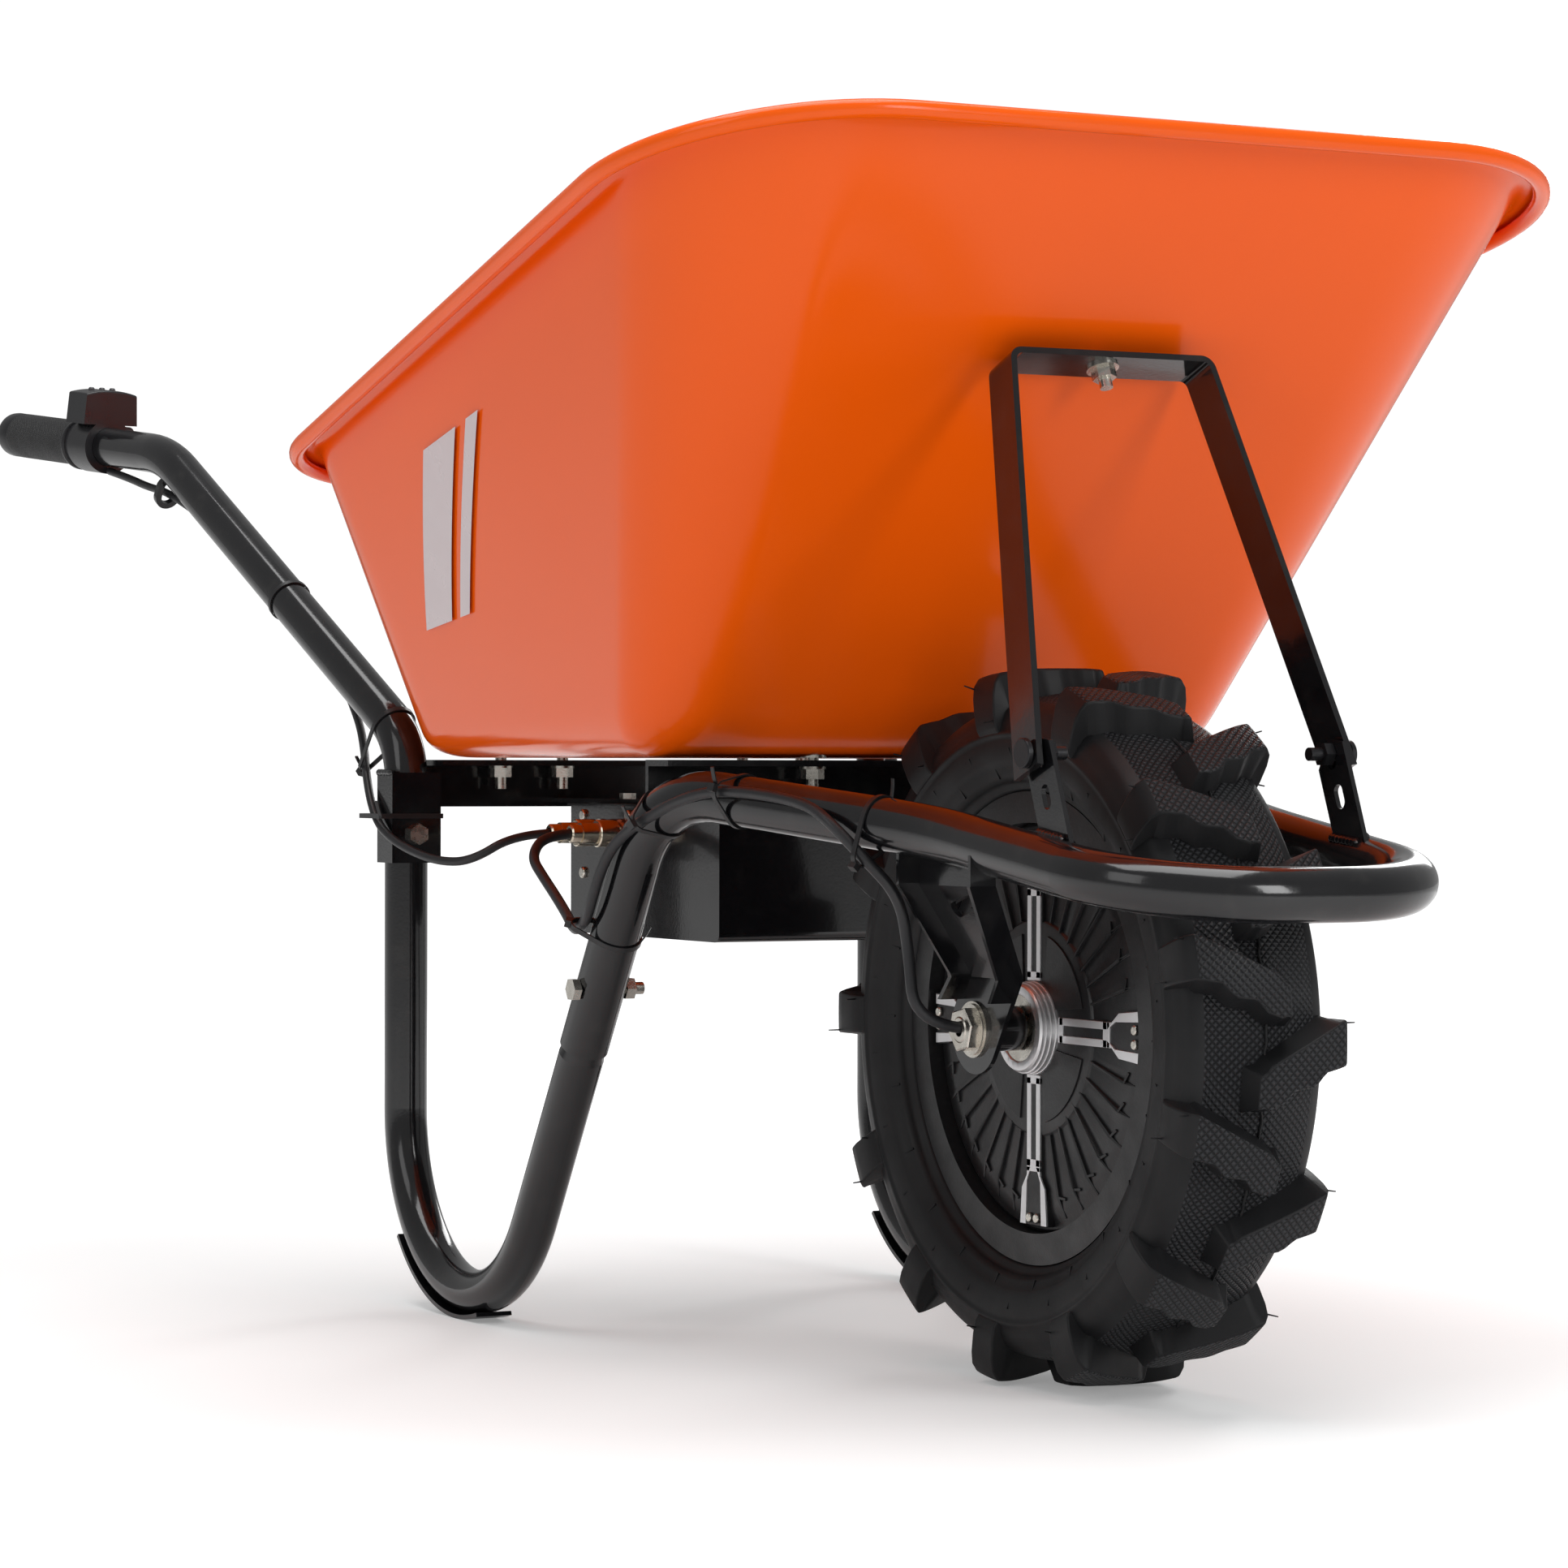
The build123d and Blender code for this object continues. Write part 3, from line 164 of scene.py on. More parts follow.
# ---- materials ----------------------------------------------------------------------
class Shader:
    """A principled material with short helpers for its texture nodes."""

    def __init__(self, name, colour, roughness, metallic=0.0, coat=0.0, coat_roughness=0.05):
        self.material = bpy.data.materials.new(name)
        self.material.use_nodes = True
        self.tree = self.material.node_tree
        self.nodes = self.tree.nodes
        self.main = self.nodes["Principled BSDF"]
        self.main.inputs["Base Color"].default_value = (*colour, 1)
        self.main.inputs["Roughness"].default_value = roughness
        self.main.inputs["Metallic"].default_value = metallic
        self.main.inputs["Coat Weight"].default_value = coat
        self.main.inputs["Coat Roughness"].default_value = coat_roughness
        self.colour = colour

    def link(self, source, target):
        self.tree.links.new(source, target)

    def place(self, kind="Object"):
        """Texture coordinates: in metres from the object's origin, or its UV map."""
        return self.nodes.new("ShaderNodeTexCoord").outputs[kind]

    def noise(self, scale, detail, stretch=None):
        """Noise whose scale is in cells to a metre."""
        texture = self.nodes.new("ShaderNodeTexNoise")
        texture.inputs["Scale"].default_value = scale
        texture.inputs["Detail"].default_value = detail
        texture.inputs["Roughness"].default_value = 0.55
        place = self.place()
        if stretch:
            mapping = self.nodes.new("ShaderNodeMapping")
            mapping.inputs["Scale"].default_value = stretch
            self.link(place, mapping.inputs["Vector"])
            place = mapping.outputs["Vector"]
        self.link(place, texture.inputs["Vector"])
        return texture.outputs["Fac"]

    def span(self, value, low, high, out_low, out_high):
        """Maps low to high onto out_low to out_high, and stops at both ends."""
        remap = self.nodes.new("ShaderNodeMapRange")
        remap.inputs["From Min"].default_value = low
        remap.inputs["From Max"].default_value = high
        remap.inputs["To Min"].default_value = out_low
        remap.inputs["To Max"].default_value = out_high
        self.link(value, remap.inputs["Value"])
        return remap.outputs["Result"]

    def math(self, operation, a, b=None):
        """One math node on numbers or node outputs."""
        node = self.nodes.new("ShaderNodeMath")
        node.operation = operation
        for socket, value in zip(node.inputs, (a, b)):
            if value is None:
                continue
            if isinstance(value, (int, float)):
                socket.default_value = value
            else:
                self.link(value, socket)
        return node.outputs["Value"]

    def tint(self, factor, other):
        """Moves the colour towards another one by a factor."""
        mix = self.nodes.new("ShaderNodeMix")
        mix.data_type = "RGBA"
        colour = self.main.inputs["Base Color"]
        if colour.is_linked:
            self.link(colour.links[0].from_socket, mix.inputs["A"])
        else:
            mix.inputs["A"].default_value = (*self.colour, 1)
        mix.inputs["B"].default_value = (*other, 1)
        self.link(factor, mix.inputs["Factor"])
        self.link(mix.outputs["Result"], colour)

    def vary_roughness(self, factor, low, high):
        """Roughness that follows a noise, most of which lies from 0.3 to 0.7."""
        self.link(self.span(factor, 0.3, 0.7, low, high), self.main.inputs["Roughness"])

    def bump(self, height, strength, distance):
        """Adds relief on top of the relief that is there already."""
        node = self.nodes.new("ShaderNodeBump")
        node.inputs["Strength"].default_value = strength
        node.inputs["Distance"].default_value = distance
        self.link(height, node.inputs["Height"])
        normal = self.main.inputs["Normal"]
        if normal.is_linked:
            self.link(normal.links[0].from_socket, node.inputs["Normal"])
        self.link(node.outputs["Normal"], normal)


def black_enamel():
    shader = Shader("black_enamel", (0.006, 0.006, 0.007), 0.20, coat=0.25, coat_roughness=0.04)
    shader.vary_roughness(shader.noise(14, 5), 0.09, 0.19)
    shader.tint(shader.span(shader.noise(60, 3), 0.55, 0.75, 0.0, 0.5), (0.022, 0.021, 0.020))
    shader.bump(shader.noise(420, 2), 0.06, 0.0006)
    return shader.material


def orange_enamel():
    shader = Shader("orange_enamel", (0.93, 0.112, 0.002), 0.20)
    shader.main.inputs["Specular IOR Level"].default_value = 0.30
    shader.vary_roughness(shader.noise(9, 4), 0.13, 0.21)
    shader.tint(shader.span(shader.noise(3.5, 3), 0.35, 0.7, 0.0, 0.35), (0.85, 0.096, 0.0015))
    shader.bump(shader.noise(9, 2), 0.05, 0.004)
    shader.bump(shader.noise(300, 2), 0.045, 0.0006)
    return shader.material


def zinc_steel():
    shader = Shader("zinc_steel", (0.66, 0.63, 0.57), 0.24, metallic=1.0)
    shader.vary_roughness(shader.noise(160, 4), 0.16, 0.36)
    shader.tint(shader.span(shader.noise(90, 3), 0.45, 0.7, 0.0, 0.6), (0.48, 0.45, 0.40))
    shader.bump(shader.noise(900, 2), 0.10, 0.0003)
    return shader.material


def nickel():
    shader = Shader("nickel_plate", (0.62, 0.56, 0.45), 0.16, metallic=1.0)
    shader.vary_roughness(shader.noise(120, 4), 0.12, 0.24)
    shader.tint(shader.span(shader.noise(70, 3), 0.5, 0.75, 0.0, 0.5), (0.42, 0.30, 0.18))
    shader.bump(shader.noise(700, 2), 0.06, 0.0003)
    return shader.material


def machined_alloy():
    shader = Shader("machined_alloy", (0.86, 0.86, 0.87), 0.36, metallic=0.85)
    shader.vary_roughness(shader.noise(30, 3, stretch=(1, 14, 40)), 0.32, 0.46)
    shader.bump(shader.noise(60, 3, stretch=(1, 12, 60)), 0.10, 0.0003)
    return shader.material


def cast_black():
    shader = Shader("cast_black", (0.010, 0.010, 0.011), 0.36)
    shader.vary_roughness(shader.noise(40, 4), 0.28, 0.46)
    shader.tint(shader.span(shader.noise(220, 3), 0.5, 0.75, 0.0, 0.5), (0.024, 0.024, 0.025))
    shader.bump(shader.noise(700, 3), 0.18, 0.0005)
    return shader.material


def black_oxide():
    shader = Shader("black_oxide", (0.018, 0.018, 0.020), 0.33, metallic=0.5)
    shader.vary_roughness(shader.noise(180, 4), 0.24, 0.44)
    shader.bump(shader.noise(600, 3), 0.12, 0.0004)
    return shader.material


def cable_jacket():
    shader = Shader("cable_jacket", (0.014, 0.014, 0.016), 0.40)
    shader.vary_roughness(shader.noise(50, 4), 0.34, 0.50)
    shader.bump(shader.noise(300, 3), 0.10, 0.0004)
    return shader.material


def tie_nylon():
    shader = Shader("tie_nylon", (0.013, 0.013, 0.014), 0.34)
    shader.vary_roughness(shader.noise(200, 3), 0.28, 0.42)
    shader.bump(shader.noise(900, 2), 0.10, 0.0003)
    return shader.material


def satin_plastic():
    shader = Shader("satin_plastic", (0.012, 0.012, 0.014), 0.30)
    shader.vary_roughness(shader.noise(35, 3), 0.25, 0.38)
    shader.bump(shader.noise(1500, 2), 0.14, 0.0003)
    return shader.material


GRIP_DIAMOND = (3.2 * MM, 2.2 * MM)


def grip_rubber():
    """Soft rubber with a fine diamond relief, laid out along and round the grip."""
    shader = Shader("grip_rubber", (0.016, 0.016, 0.017), 0.58)
    shader.vary_roughness(shader.noise(60, 4), 0.50, 0.68)
    shader.bump(diamond_relief(shader, *GRIP_DIAMOND), 0.75, 0.0011)
    return shader.material


def diamond_relief(shader, pitch_u, pitch_v):
    """Raised diamonds from two crossing waves over a UV map that is in metres."""
    apart = shader.nodes.new("ShaderNodeSeparateXYZ")
    shader.link(shader.place("UV"), apart.inputs["Vector"])
    along = shader.math("DIVIDE", apart.outputs["X"], pitch_u)
    round_about = shader.math("DIVIDE", apart.outputs["Y"], pitch_v)
    waves = []
    for operation in ("ADD", "SUBTRACT"):
        phase = shader.math("MULTIPLY", shader.math(operation, along, round_about), math.pi)
        waves.append(shader.math("ABSOLUTE", shader.math("SINE", phase)))
    return shader.math("MINIMUM", waves[0], waves[1])


TREAD_DIAMOND = 5.2 * MM


def tyre_rubber(name, relief):
    """Matt rubber, and for the tread with moulded diamonds whose ridges are painted paler as a
    painted highlight.
    """
    shader = Shader(name, (0.0070, 0.0072, 0.0082), 0.48)
    shader.main.inputs["Specular IOR Level"].default_value = 0.30
    shader.vary_roughness(shader.noise(26, 5), 0.42, 0.60)
    shader.tint(shader.span(shader.noise(18, 5), 0.45, 0.75, 0.0, 0.7), (0.015, 0.015, 0.016))
    if relief:
        diamonds = diamond_relief(shader, TREAD_DIAMOND, TREAD_DIAMOND)
        # the diamond ridges are painted paler: a painted highlight on the tread
        shader.tint(shader.span(diamonds, 0.25, 0.75, 0.0, 0.8), (0.028, 0.029, 0.033))
        shader.bump(diamonds, relief, 0.0014)
    shader.bump(shader.noise(500, 3), 0.10, 0.0005)
    return shader.material


def fine_grained(name, colour, roughness, metallic=0.0):
    """Plain material with a fine grain, for small and inner parts."""
    shader = Shader(name, colour, roughness, metallic)
    shader.vary_roughness(shader.noise(80, 4), roughness * 0.8, roughness * 1.25)
    shader.bump(shader.noise(400, 2), 0.08, 0.0003)
    return shader.material


def decal_film():
    shader = Shader("decal_film", (0.66, 0.57, 0.58), 0.30)
    shader.vary_roughness(shader.noise(30, 3), 0.24, 0.40)
    shader.bump(shader.noise(400, 2), 0.04, 0.0003)
    return shader.material


# the floor glows from the first strength to the second between these distances in metres; the
# weaker glow near the object is painted shade around it
GLOW_REACH = (0.6, 2.4)
GLOW = (0.24, 0.88)
GLOW_UNSEEN = 0.30                          # share of the glow that reaches the object


def studio_floor():
    """White floor that glows, less so around the object, where the dimmer glow is painted shade."""
    shader = Shader("studio_floor", (0.84, 0.84, 0.84), 0.62)
    shader.vary_roughness(shader.noise(2, 3), 0.56, 0.70)
    length = shader.nodes.new("ShaderNodeVectorMath")
    length.operation = "LENGTH"
    shader.link(shader.place(), length.inputs[0])
    shader.main.inputs["Emission Color"].default_value = (1, 1, 1, 1)
    # less glow near the object: painted shade on the floor around it
    glow = shader.span(length.outputs["Value"], *GLOW_REACH, *GLOW)
    seen = shader.nodes.new("ShaderNodeLightPath").outputs["Is Camera Ray"]
    glow = shader.math("MULTIPLY", glow, shader.span(seen, 0, 1, GLOW_UNSEEN, 1))
    shader.link(glow, shader.main.inputs["Emission Strength"])
    return shader.material


BLACK = black_enamel()
ORANGE = orange_enamel()
ZINC = zinc_steel()
NICKEL = nickel()
ALLOY = machined_alloy()
CAST = cast_black()
OXIDE = black_oxide()
JACKET = cable_jacket()
NYLON = tie_nylon()
PLASTIC = satin_plastic()
GRIP = grip_rubber()
TYRE = tyre_rubber("tyre_rubber", 0.0)
TREAD = tyre_rubber("tyre_tread", 0.85)
COPPER = fine_grained("enamelled_copper", (0.55, 0.22, 0.08), 0.35, 1.0)
STEEL = fine_grained("lamination_steel", (0.24, 0.24, 0.25), 0.45, 1.0)
LENS = fine_grained("smoked_lens", (0.05, 0.05, 0.055), 0.12)
RED = fine_grained("red_button", (0.45, 0.012, 0.012), 0.25)
CASE = fine_grained("case_alloy", (0.34, 0.35, 0.37), 0.38, 0.9)
BUFFER = fine_grained("buffer_rubber", (0.017, 0.017, 0.018), 0.62)
DECAL = decal_film()

NODE_MATERIALS = {
    BLACK: ("front_hoop", "leg_left", "leg_right", "leg_skids", "handle_left", "handle_right",
            "bracket_left", "bracket_right", "rear_rail", "front_rail", "fork_left", "fork_right",
            "tab_left", "tab_right", "brace", "cable_hook", "case_hangers", "axle_spacers",
            "case_body", "case_lid", "connector_plate"),
    ZINC: ("axle", "axle_nuts", "axle_washers", "bracket_bolts", "brace_fastener",
           "leg_joint_bolts", "tray_bolts", "plate_screws", "cover_screws", "hanger_bolts",
           "bearing_left", "bearing_right"),
    OXIDE: ("tab_bolts",),
    NICKEL: ("motor_connector", "throttle_connector"),
    CAST: ("rim", "cover_left", "cover_right"),
    PLASTIC: ("throttle_housing", "thumb_lever", "battery_pack"),
    RED: ("power_button",),
    LENS: ("indicator_lamps",),
    NYLON: ("cable_ties",),
    CASE: ("controller",),
    COPPER: ("windings",),
    STEEL: ("stator", "magnet_ring"),
    BUFFER: ("brace_pad",),
}


def paint_nodes():
    """Gives the CAD nodes their materials."""
    for material, names in NODE_MATERIALS.items():
        for name in names:
            node = nodes[name]
            node.data.materials.clear()
            node.data.materials.append(material)


paint_nodes()


# ---- tray ---------------------------------------------------------------------------
RIM_Z0, RIM_SLOPE = 724.0, 0.222
FLOOR_Z = 379.0
SHEET = 1.6
BEAD_R = 3.9
# front and rear X, half widths there, and corner radii, of the inner skin and the bead
FLOOR_OUTLINE = (-171.8, -622.2, 210.2, 184.2, 43.0, 90.0)
TOP_OUTLINE = (108.2, -626.2, 313.7, 263.5, 118.0, 78.0)
BEAD_OUTLINE = (125.0, -640.0, 330.8, 278.5, 138.0, 97.0)
BEAD_DROP = 5.5
FLOOR_ROUND = 30.0
# points on each corner's arc, and between the corners: front, left, rear, right
ARC_STEPS = 20
SIDE_STEPS = (16, 30, 12, 30)
# steps and shares of the wall's height at which its rows of points lie
FLOOR_ROWS = (0.02, 0.3, 0.55, 0.78, 0.93)
CORNER_SHARE, CORNER_ROWS = 0.082, 10
WALL_SHARE, WALL_ROWS = 0.975, 26
LIP_SHARE, LIP_ROWS = 0.45, 6
BEAD_TURN, BEAD_ROWS = 285, 14


def rounded_outline(front, rear, front_half, rear_half, front_r, rear_r, inset=0.0):
    """Points (x, y) of a symmetric four sided outline with round corners, evenly indexed."""
    front, rear = front - inset, rear + inset
    front_half, rear_half = front_half - inset, rear_half - inset
    corners = [Vector((front, -front_half)), Vector((front, front_half)),
               Vector((rear, rear_half)), Vector((rear, -rear_half))]
    radii = [radius - inset for radius in (front_r, front_r, rear_r, rear_r)]
    arcs = []
    for index, corner in enumerate(corners):
        to_last = (corners[index - 1] - corner).normalized()
        to_next = (corners[(index + 1) % 4] - corner).normalized()
        half = to_last.angle(to_next) / 2
        radius = radii[index]
        centre = corner + (to_last + to_next).normalized() * (radius / math.sin(half))
        start = corner + to_last * (radius / math.tan(half)) - centre
        end = corner + to_next * (radius / math.tan(half)) - centre
        sweep = start.angle(end)
        turn = 1 if start.x * end.y - start.y * end.x > 0 else -1
        arc = []
        for step in range(ARC_STEPS + 1):
            angle = turn * sweep * step / ARC_STEPS
            cosine, sine = math.cos(angle), math.sin(angle)
            arc.append(centre + Vector((start.x * cosine - start.y * sine,
                                        start.x * sine + start.y * cosine)))
        arcs.append(arc)
    points = []
    for index, arc in enumerate(arcs):
        points.extend(arc)
        following = arcs[(index + 1) % 4][0]
        steps = SIDE_STEPS[index]
        points.extend(arc[-1].lerp(following, step / steps) for step in range(1, steps))
    return points


def on_rim(point, lift):
    """Lifts an outline point onto the sloping plane of the rim."""
    return mm(point.x, point.y, RIM_Z0 + RIM_SLOPE * point.x + lift)


def bezier(a, b, c, share):
    """A point on the curve from a to c that b pulls towards itself."""
    return a.lerp(b, share).lerp(b.lerp(c, share), share)


def bead_row(bead, middle, rim_up, angle):
    """Points round the rolled bead's line, all turned about it by the same angle."""
    row = []
    for index, place in enumerate(bead):
        along = (bead[(index + 1) % len(bead)] - bead[index - 1]).normalized()
        outward = along.cross(rim_up).normalized()
        if outward.dot(place - middle) < 0:
            outward = -outward
        reach = outward * math.cos(angle) + rim_up * math.sin(angle)
        row.append(place + reach * (BEAD_R * MM))
    return row


def build_tray():
    """The inner skin in rows from the middle of the floor to the bead, then thickened."""
    level = FLOOR_Z + SHEET
    floor = [mm(p.x, p.y, level) for p in rounded_outline(*FLOOR_OUTLINE)]
    flat = [mm(p.x, p.y, level) for p in rounded_outline(*FLOOR_OUTLINE, FLOOR_ROUND)]
    top = [on_rim(p, 0.0) for p in rounded_outline(*TOP_OUTLINE)]
    bead = [on_rim(p, -BEAD_DROP) for p in rounded_outline(*BEAD_OUTLINE)]
    middle = mm(-400, 0, level)
    rim_up = Vector((-RIM_SLOPE, 0, 1)).normalized()
    crest = [place + rim_up * (BEAD_R * MM) for place in bead]
    rows = [[middle.lerp(p, share) for p in flat] for share in FLOOR_ROWS]
    for step in range(CORNER_ROWS + 1):
        rows.append([bezier(inner, outer, outer.lerp(high, CORNER_SHARE), step / CORNER_ROWS)
                     for inner, outer, high in zip(flat, floor, top)])
    for step in range(1, WALL_ROWS):
        share = CORNER_SHARE + (WALL_SHARE - CORNER_SHARE) * step / WALL_ROWS
        rows.append([low.lerp(high, share) for low, high in zip(floor, top)])
    for step in range(LIP_ROWS + 1):
        rows.append([bezier(low.lerp(high, WALL_SHARE), high, high.lerp(over, LIP_SHARE),
                            step / LIP_ROWS)
                     for low, high, over in zip(floor, top, crest)])
    for share in (0.65, 0.85):
        rows.append([high.lerp(over, share) for high, over in zip(top, crest)])
    for step in range(BEAD_ROWS + 1):
        angle = math.radians(90 - BEAD_TURN * step / BEAD_ROWS)
        rows.append(bead_row(bead, middle, rim_up, angle))
    vertices = [p for row in rows for p in row]
    faces = strip_faces(len(rows), len(floor), True)
    faces.append(tuple(range(len(floor)))[::-1])
    tray = add_mesh("tray_shell", vertices, faces, ORANGE, None)
    solid = tray.modifiers.new("sheet", "SOLIDIFY")
    solid.thickness = SHEET * MM
    solid.offset = -1
    apply_modifiers(tray)
    shade_smooth(tray)
    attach(tray, "frame")
    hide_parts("tray")


build_tray()


# ---- tyre ---------------------------------------------------------------------------
TYRE_R = 217.5
LUGS = 13                                   # on each side
SHOULDER_R = 0.2                            # metres: the tread's UV map runs on below this
CARCASS_SEGMENTS = 208
# half of the carcass's section, (Y, radius): the skin from bead to middle, and the lining
SKIN = ((30.6, 128.8), (31.4, 143.6), (35.0, 143.7), (36.4, 145.0), (37.6, 147.4),
        (39.6, 149.2), (41.0, 149.2), (43.4, 152.6), (46.0, 157.5), (46.9, 158.2),
        (48.3, 162.5), (49.6, 168.0), (50.1, 173.5), (50.1, 176.0), (50.8, 176.8),
        (50.8, 178.8), (49.9, 179.6), (49.0, 184.5), (47.4, 189.0), (45.6, 192.4),
        (43.0, 194.8), (37.0, 197.6), (30.0, 199.6), (22.0, 201.2), (14.0, 202.4),
        (7.0, 203.2), (1.6, 203.5), (1.0, 203.1), (0.0, 202.6))
LINING = ((0.0, 196.0), (22.0, 194.0), (36.0, 188.5), (42.5, 174.0), (38.0, 158.0),
          (25.0, 143.0), (24.5, 128.8))
# past this radius and within this Y, in metres, a face has the tread's diamonds
CARCASS_TREAD = (0.1965, 0.046)
LUG_TREAD = (0.2142, 0.0475)


def on_wheel(angle, y, radius):
    """A point on the wheel, by its angle from ahead, its Y and its radius."""
    return mm(radius * math.cos(angle), y, AXLE.z / MM + radius * math.sin(angle))


def tyre_uv(piece):
    """A UV map in metres: distance round the tyre, and distance across it."""
    layer = piece.data.uv_layers.new(name="around")
    for polygon in piece.data.polygons:
        points = [piece.data.vertices[vertex].co - AXLE for vertex in polygon.vertices]
        angles = [math.atan2(point.z, point.x) for point in points]
        wrap = max(angles) - min(angles) > math.pi
        for loop, point, angle in zip(polygon.loop_indices, points, angles):
            if wrap and angle < 0:
                angle += 2 * math.pi
            depth = math.hypot(point.x, point.z)
            across = point.y + math.copysign(max(0.0, SHOULDER_R - depth), point.y)
            layer.data[loop].uv = (angle * TYRE_R * MM, across)


def mark_tread(piece, least_radius, most_y):
    """Gives the faces that meet the ground the tread's material."""
    piece.data.materials.append(TREAD)
    for polygon in piece.data.polygons:
        point = polygon.center - AXLE
        if math.hypot(point.x, point.z) > least_radius and abs(point.y) < most_y:
            polygon.material_index = 1


def build_carcass():
    """The tyre without its lugs: a closed section turned about the axle."""
    across = SKIN + tuple((-y, r) for y, r in SKIN[-2::-1])
    back = tuple((-y, r) for y, r in LINING[::-1]) + LINING[1:]
    profile = across + back
    vertices = []
    for y, radius in profile:
        for step in range(CARCASS_SEGMENTS):
            vertices.append(on_wheel(2 * math.pi * step / CARCASS_SEGMENTS, y, radius))
    faces = strip_faces(len(profile), CARCASS_SEGMENTS, True)
    last = (len(profile) - 1) * CARCASS_SEGMENTS
    for step in range(CARCASS_SEGMENTS):
        beside = (step + 1) % CARCASS_SEGMENTS
        faces.append((last + step, last + beside, beside, step))
    carcass = add_mesh("tyre_carcass", vertices, faces, TYRE, "wheel")
    mark_tread(carcass, *CARCASS_TREAD)
    tyre_uv(carcass)
    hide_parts("tyre")


# a lug runs from the shoulder, which these rows cross, to a little past the middle
SHOULDER_TOP = ((51.0, 178.0), (53.2, 182.0), (54.0, 190.0), (53.8, 202.0), (52.4, 209.5))
SHOULDER_FOOT = ((48.4, 177.0), (47.6, 182.0), (46.4, 188.0), (44.2, 192.0), (43.2, 193.0))
CROWN_ROWS = 19
CROWN_Y = (48.5, -10.5)
LUG_DROP = 27.5
LUG_HALF = (13.6, 12.0)
LUG_COLUMNS = 9
# how far the lower edge of a lug steps up, against the share of the way across
STEPS = ((0, 0), (0.24, 3.4), (0.36, -1.6), (0.60, 3.0), (0.72, -1.4), (1, 0))
# radius of the carcass against Y, which the lugs' feet sink into
CARCASS = ((0, 203.4), (14, 202.4), (22, 201.2), (30, 199.6), (37, 197.6), (43, 194.8),
           (48, 188.0))
FOOT_SPREAD, SHOULDER_SPREAD = 5.6, 2.2


def read_table(table, value):
    """Straight line between the two rows of a table on each side of a value."""
    for (x0, y0), (x1, y1) in zip(table, table[1:]):
        if value <= x1:
            return y0 + (y1 - y0) * (value - x0) / (x1 - x0)
    return table[-1][1]


def lug_rows():
    """Per row: Y and radius of the top, Y and radius of the foot, and share across."""
    rows = [(*top, *foot, 0.0) for top, foot in zip(SHOULDER_TOP, SHOULDER_FOOT)]
    for step in range(CROWN_ROWS):
        share = step / (CROWN_ROWS - 1)
        y = CROWN_Y[0] + (CROWN_Y[1] - CROWN_Y[0]) * share
        top = 217.45 - 2.6 * (abs(y) / CROWN_Y[0]) ** 4 - 0.5 * max(0, share - 0.85) / 0.15
        foot_y = y * 0.9 if step < CROWN_ROWS - 1 else y - 4.5
        rows.append((y, top, foot_y, read_table(CARCASS, abs(foot_y)) - 1.6, share))
    return rows


def lug_edges(share):
    """Distances round the tyre of a lug's upper and lower edge, from its middle."""
    half = LUG_HALF[0] + (LUG_HALF[1] - LUG_HALF[0]) * share
    if share > 0.93:                        # the tip is narrower
        half *= 0.80
    return half - LUG_DROP * share, -half - LUG_DROP * share + read_table(STEPS, share)


def border(rows):
    """The (row, column) of each point round the edge of a lug's top, in order."""
    last, side = rows - 1, LUG_COLUMNS - 1
    ring = [(row, 0) for row in range(rows)]
    ring += [(last, column) for column in range(1, LUG_COLUMNS)]
    ring += [(row, side) for row in range(last - 1, -1, -1)]
    ring += [(0, column) for column in range(side - 1, 0, -1)]
    return ring


def build_lugs():
    """Lugs of both sides, each a grid of points with walls down to its foot."""
    rows = lug_rows()
    ring = border(len(rows))
    vertices, faces = [], []
    for number in range(2 * LUGS):
        side = 1 if number % 2 == 0 else -1
        angle = math.pi * number / LUGS
        start = len(vertices)
        for y, radius, _foot_y, _foot_r, share in rows:
            upper, lower = lug_edges(share)
            for column in range(LUG_COLUMNS):
                offset = lower + (upper - lower) * column / (LUG_COLUMNS - 1)
                vertices.append(on_wheel(angle + offset / TYRE_R, side * y, radius))
        foot_start = len(vertices)
        for row, column in ring:
            _y, _radius, foot_y, foot_r, share = rows[row]
            upper, lower = lug_edges(share)
            wide = FOOT_SPREAD if share > 0 else SHOULDER_SPREAD
            upper, lower = upper + wide, lower - wide
            offset = lower + (upper - lower) * column / (LUG_COLUMNS - 1)
            vertices.append(on_wheel(angle + offset / TYRE_R, side * foot_y, foot_r))
        faces.extend(strip_faces(len(rows), LUG_COLUMNS, False, start))
        for order, (row, column) in enumerate(ring):
            beyond = (order + 1) % len(ring)
            next_row, next_column = ring[beyond]
            faces.append((start + row * LUG_COLUMNS + column,
                          start + next_row * LUG_COLUMNS + next_column,
                          foot_start + beyond, foot_start + order))
    lugs = add_mesh("tyre_lugs", vertices, faces, TYRE, "wheel")
    fix_normals(lugs)
    mark_tread(lugs, *LUG_TREAD)
    bevel(lugs, 1.7 * MM, 3, 32)
    apply_modifiers(lugs)
    tyre_uv(lugs)


def build_flash():
    """Thin wavy fin of rubber left at the middle of the tread, where the mould parts."""
    vertices = []
    steps = 520
    for height in (202.0, 204.9):           # its foot in the tread, and its edge
        for wall in (-0.45, 0.45):
            for step in range(steps):
                angle = 2 * math.pi * step / steps
                wave = 0.55 * math.sin(angle * 47) + 0.35 * math.sin(angle * 113 + 1)
                vertices.append(on_wheel(angle, wall + wave, height))
    low_left, low_right, high_left, high_right = (steps * k for k in range(4))
    faces = []
    for step in range(steps):
        beside = (step + 1) % steps
        for a, b in ((low_left, high_left), (high_left, high_right), (high_right, low_right)):
            faces.append((a + step, a + beside, b + beside, b + step))
    add_mesh("tyre_flash", vertices, faces, TYRE, "wheel")


# turn from the lug's middle, radius, and how far a whisker there leans out along the radius
WHISKERS = ((0.055, 208.0, 0.35), (-0.05, 186.0, -0.2))
WHISKER_Y = 53.2


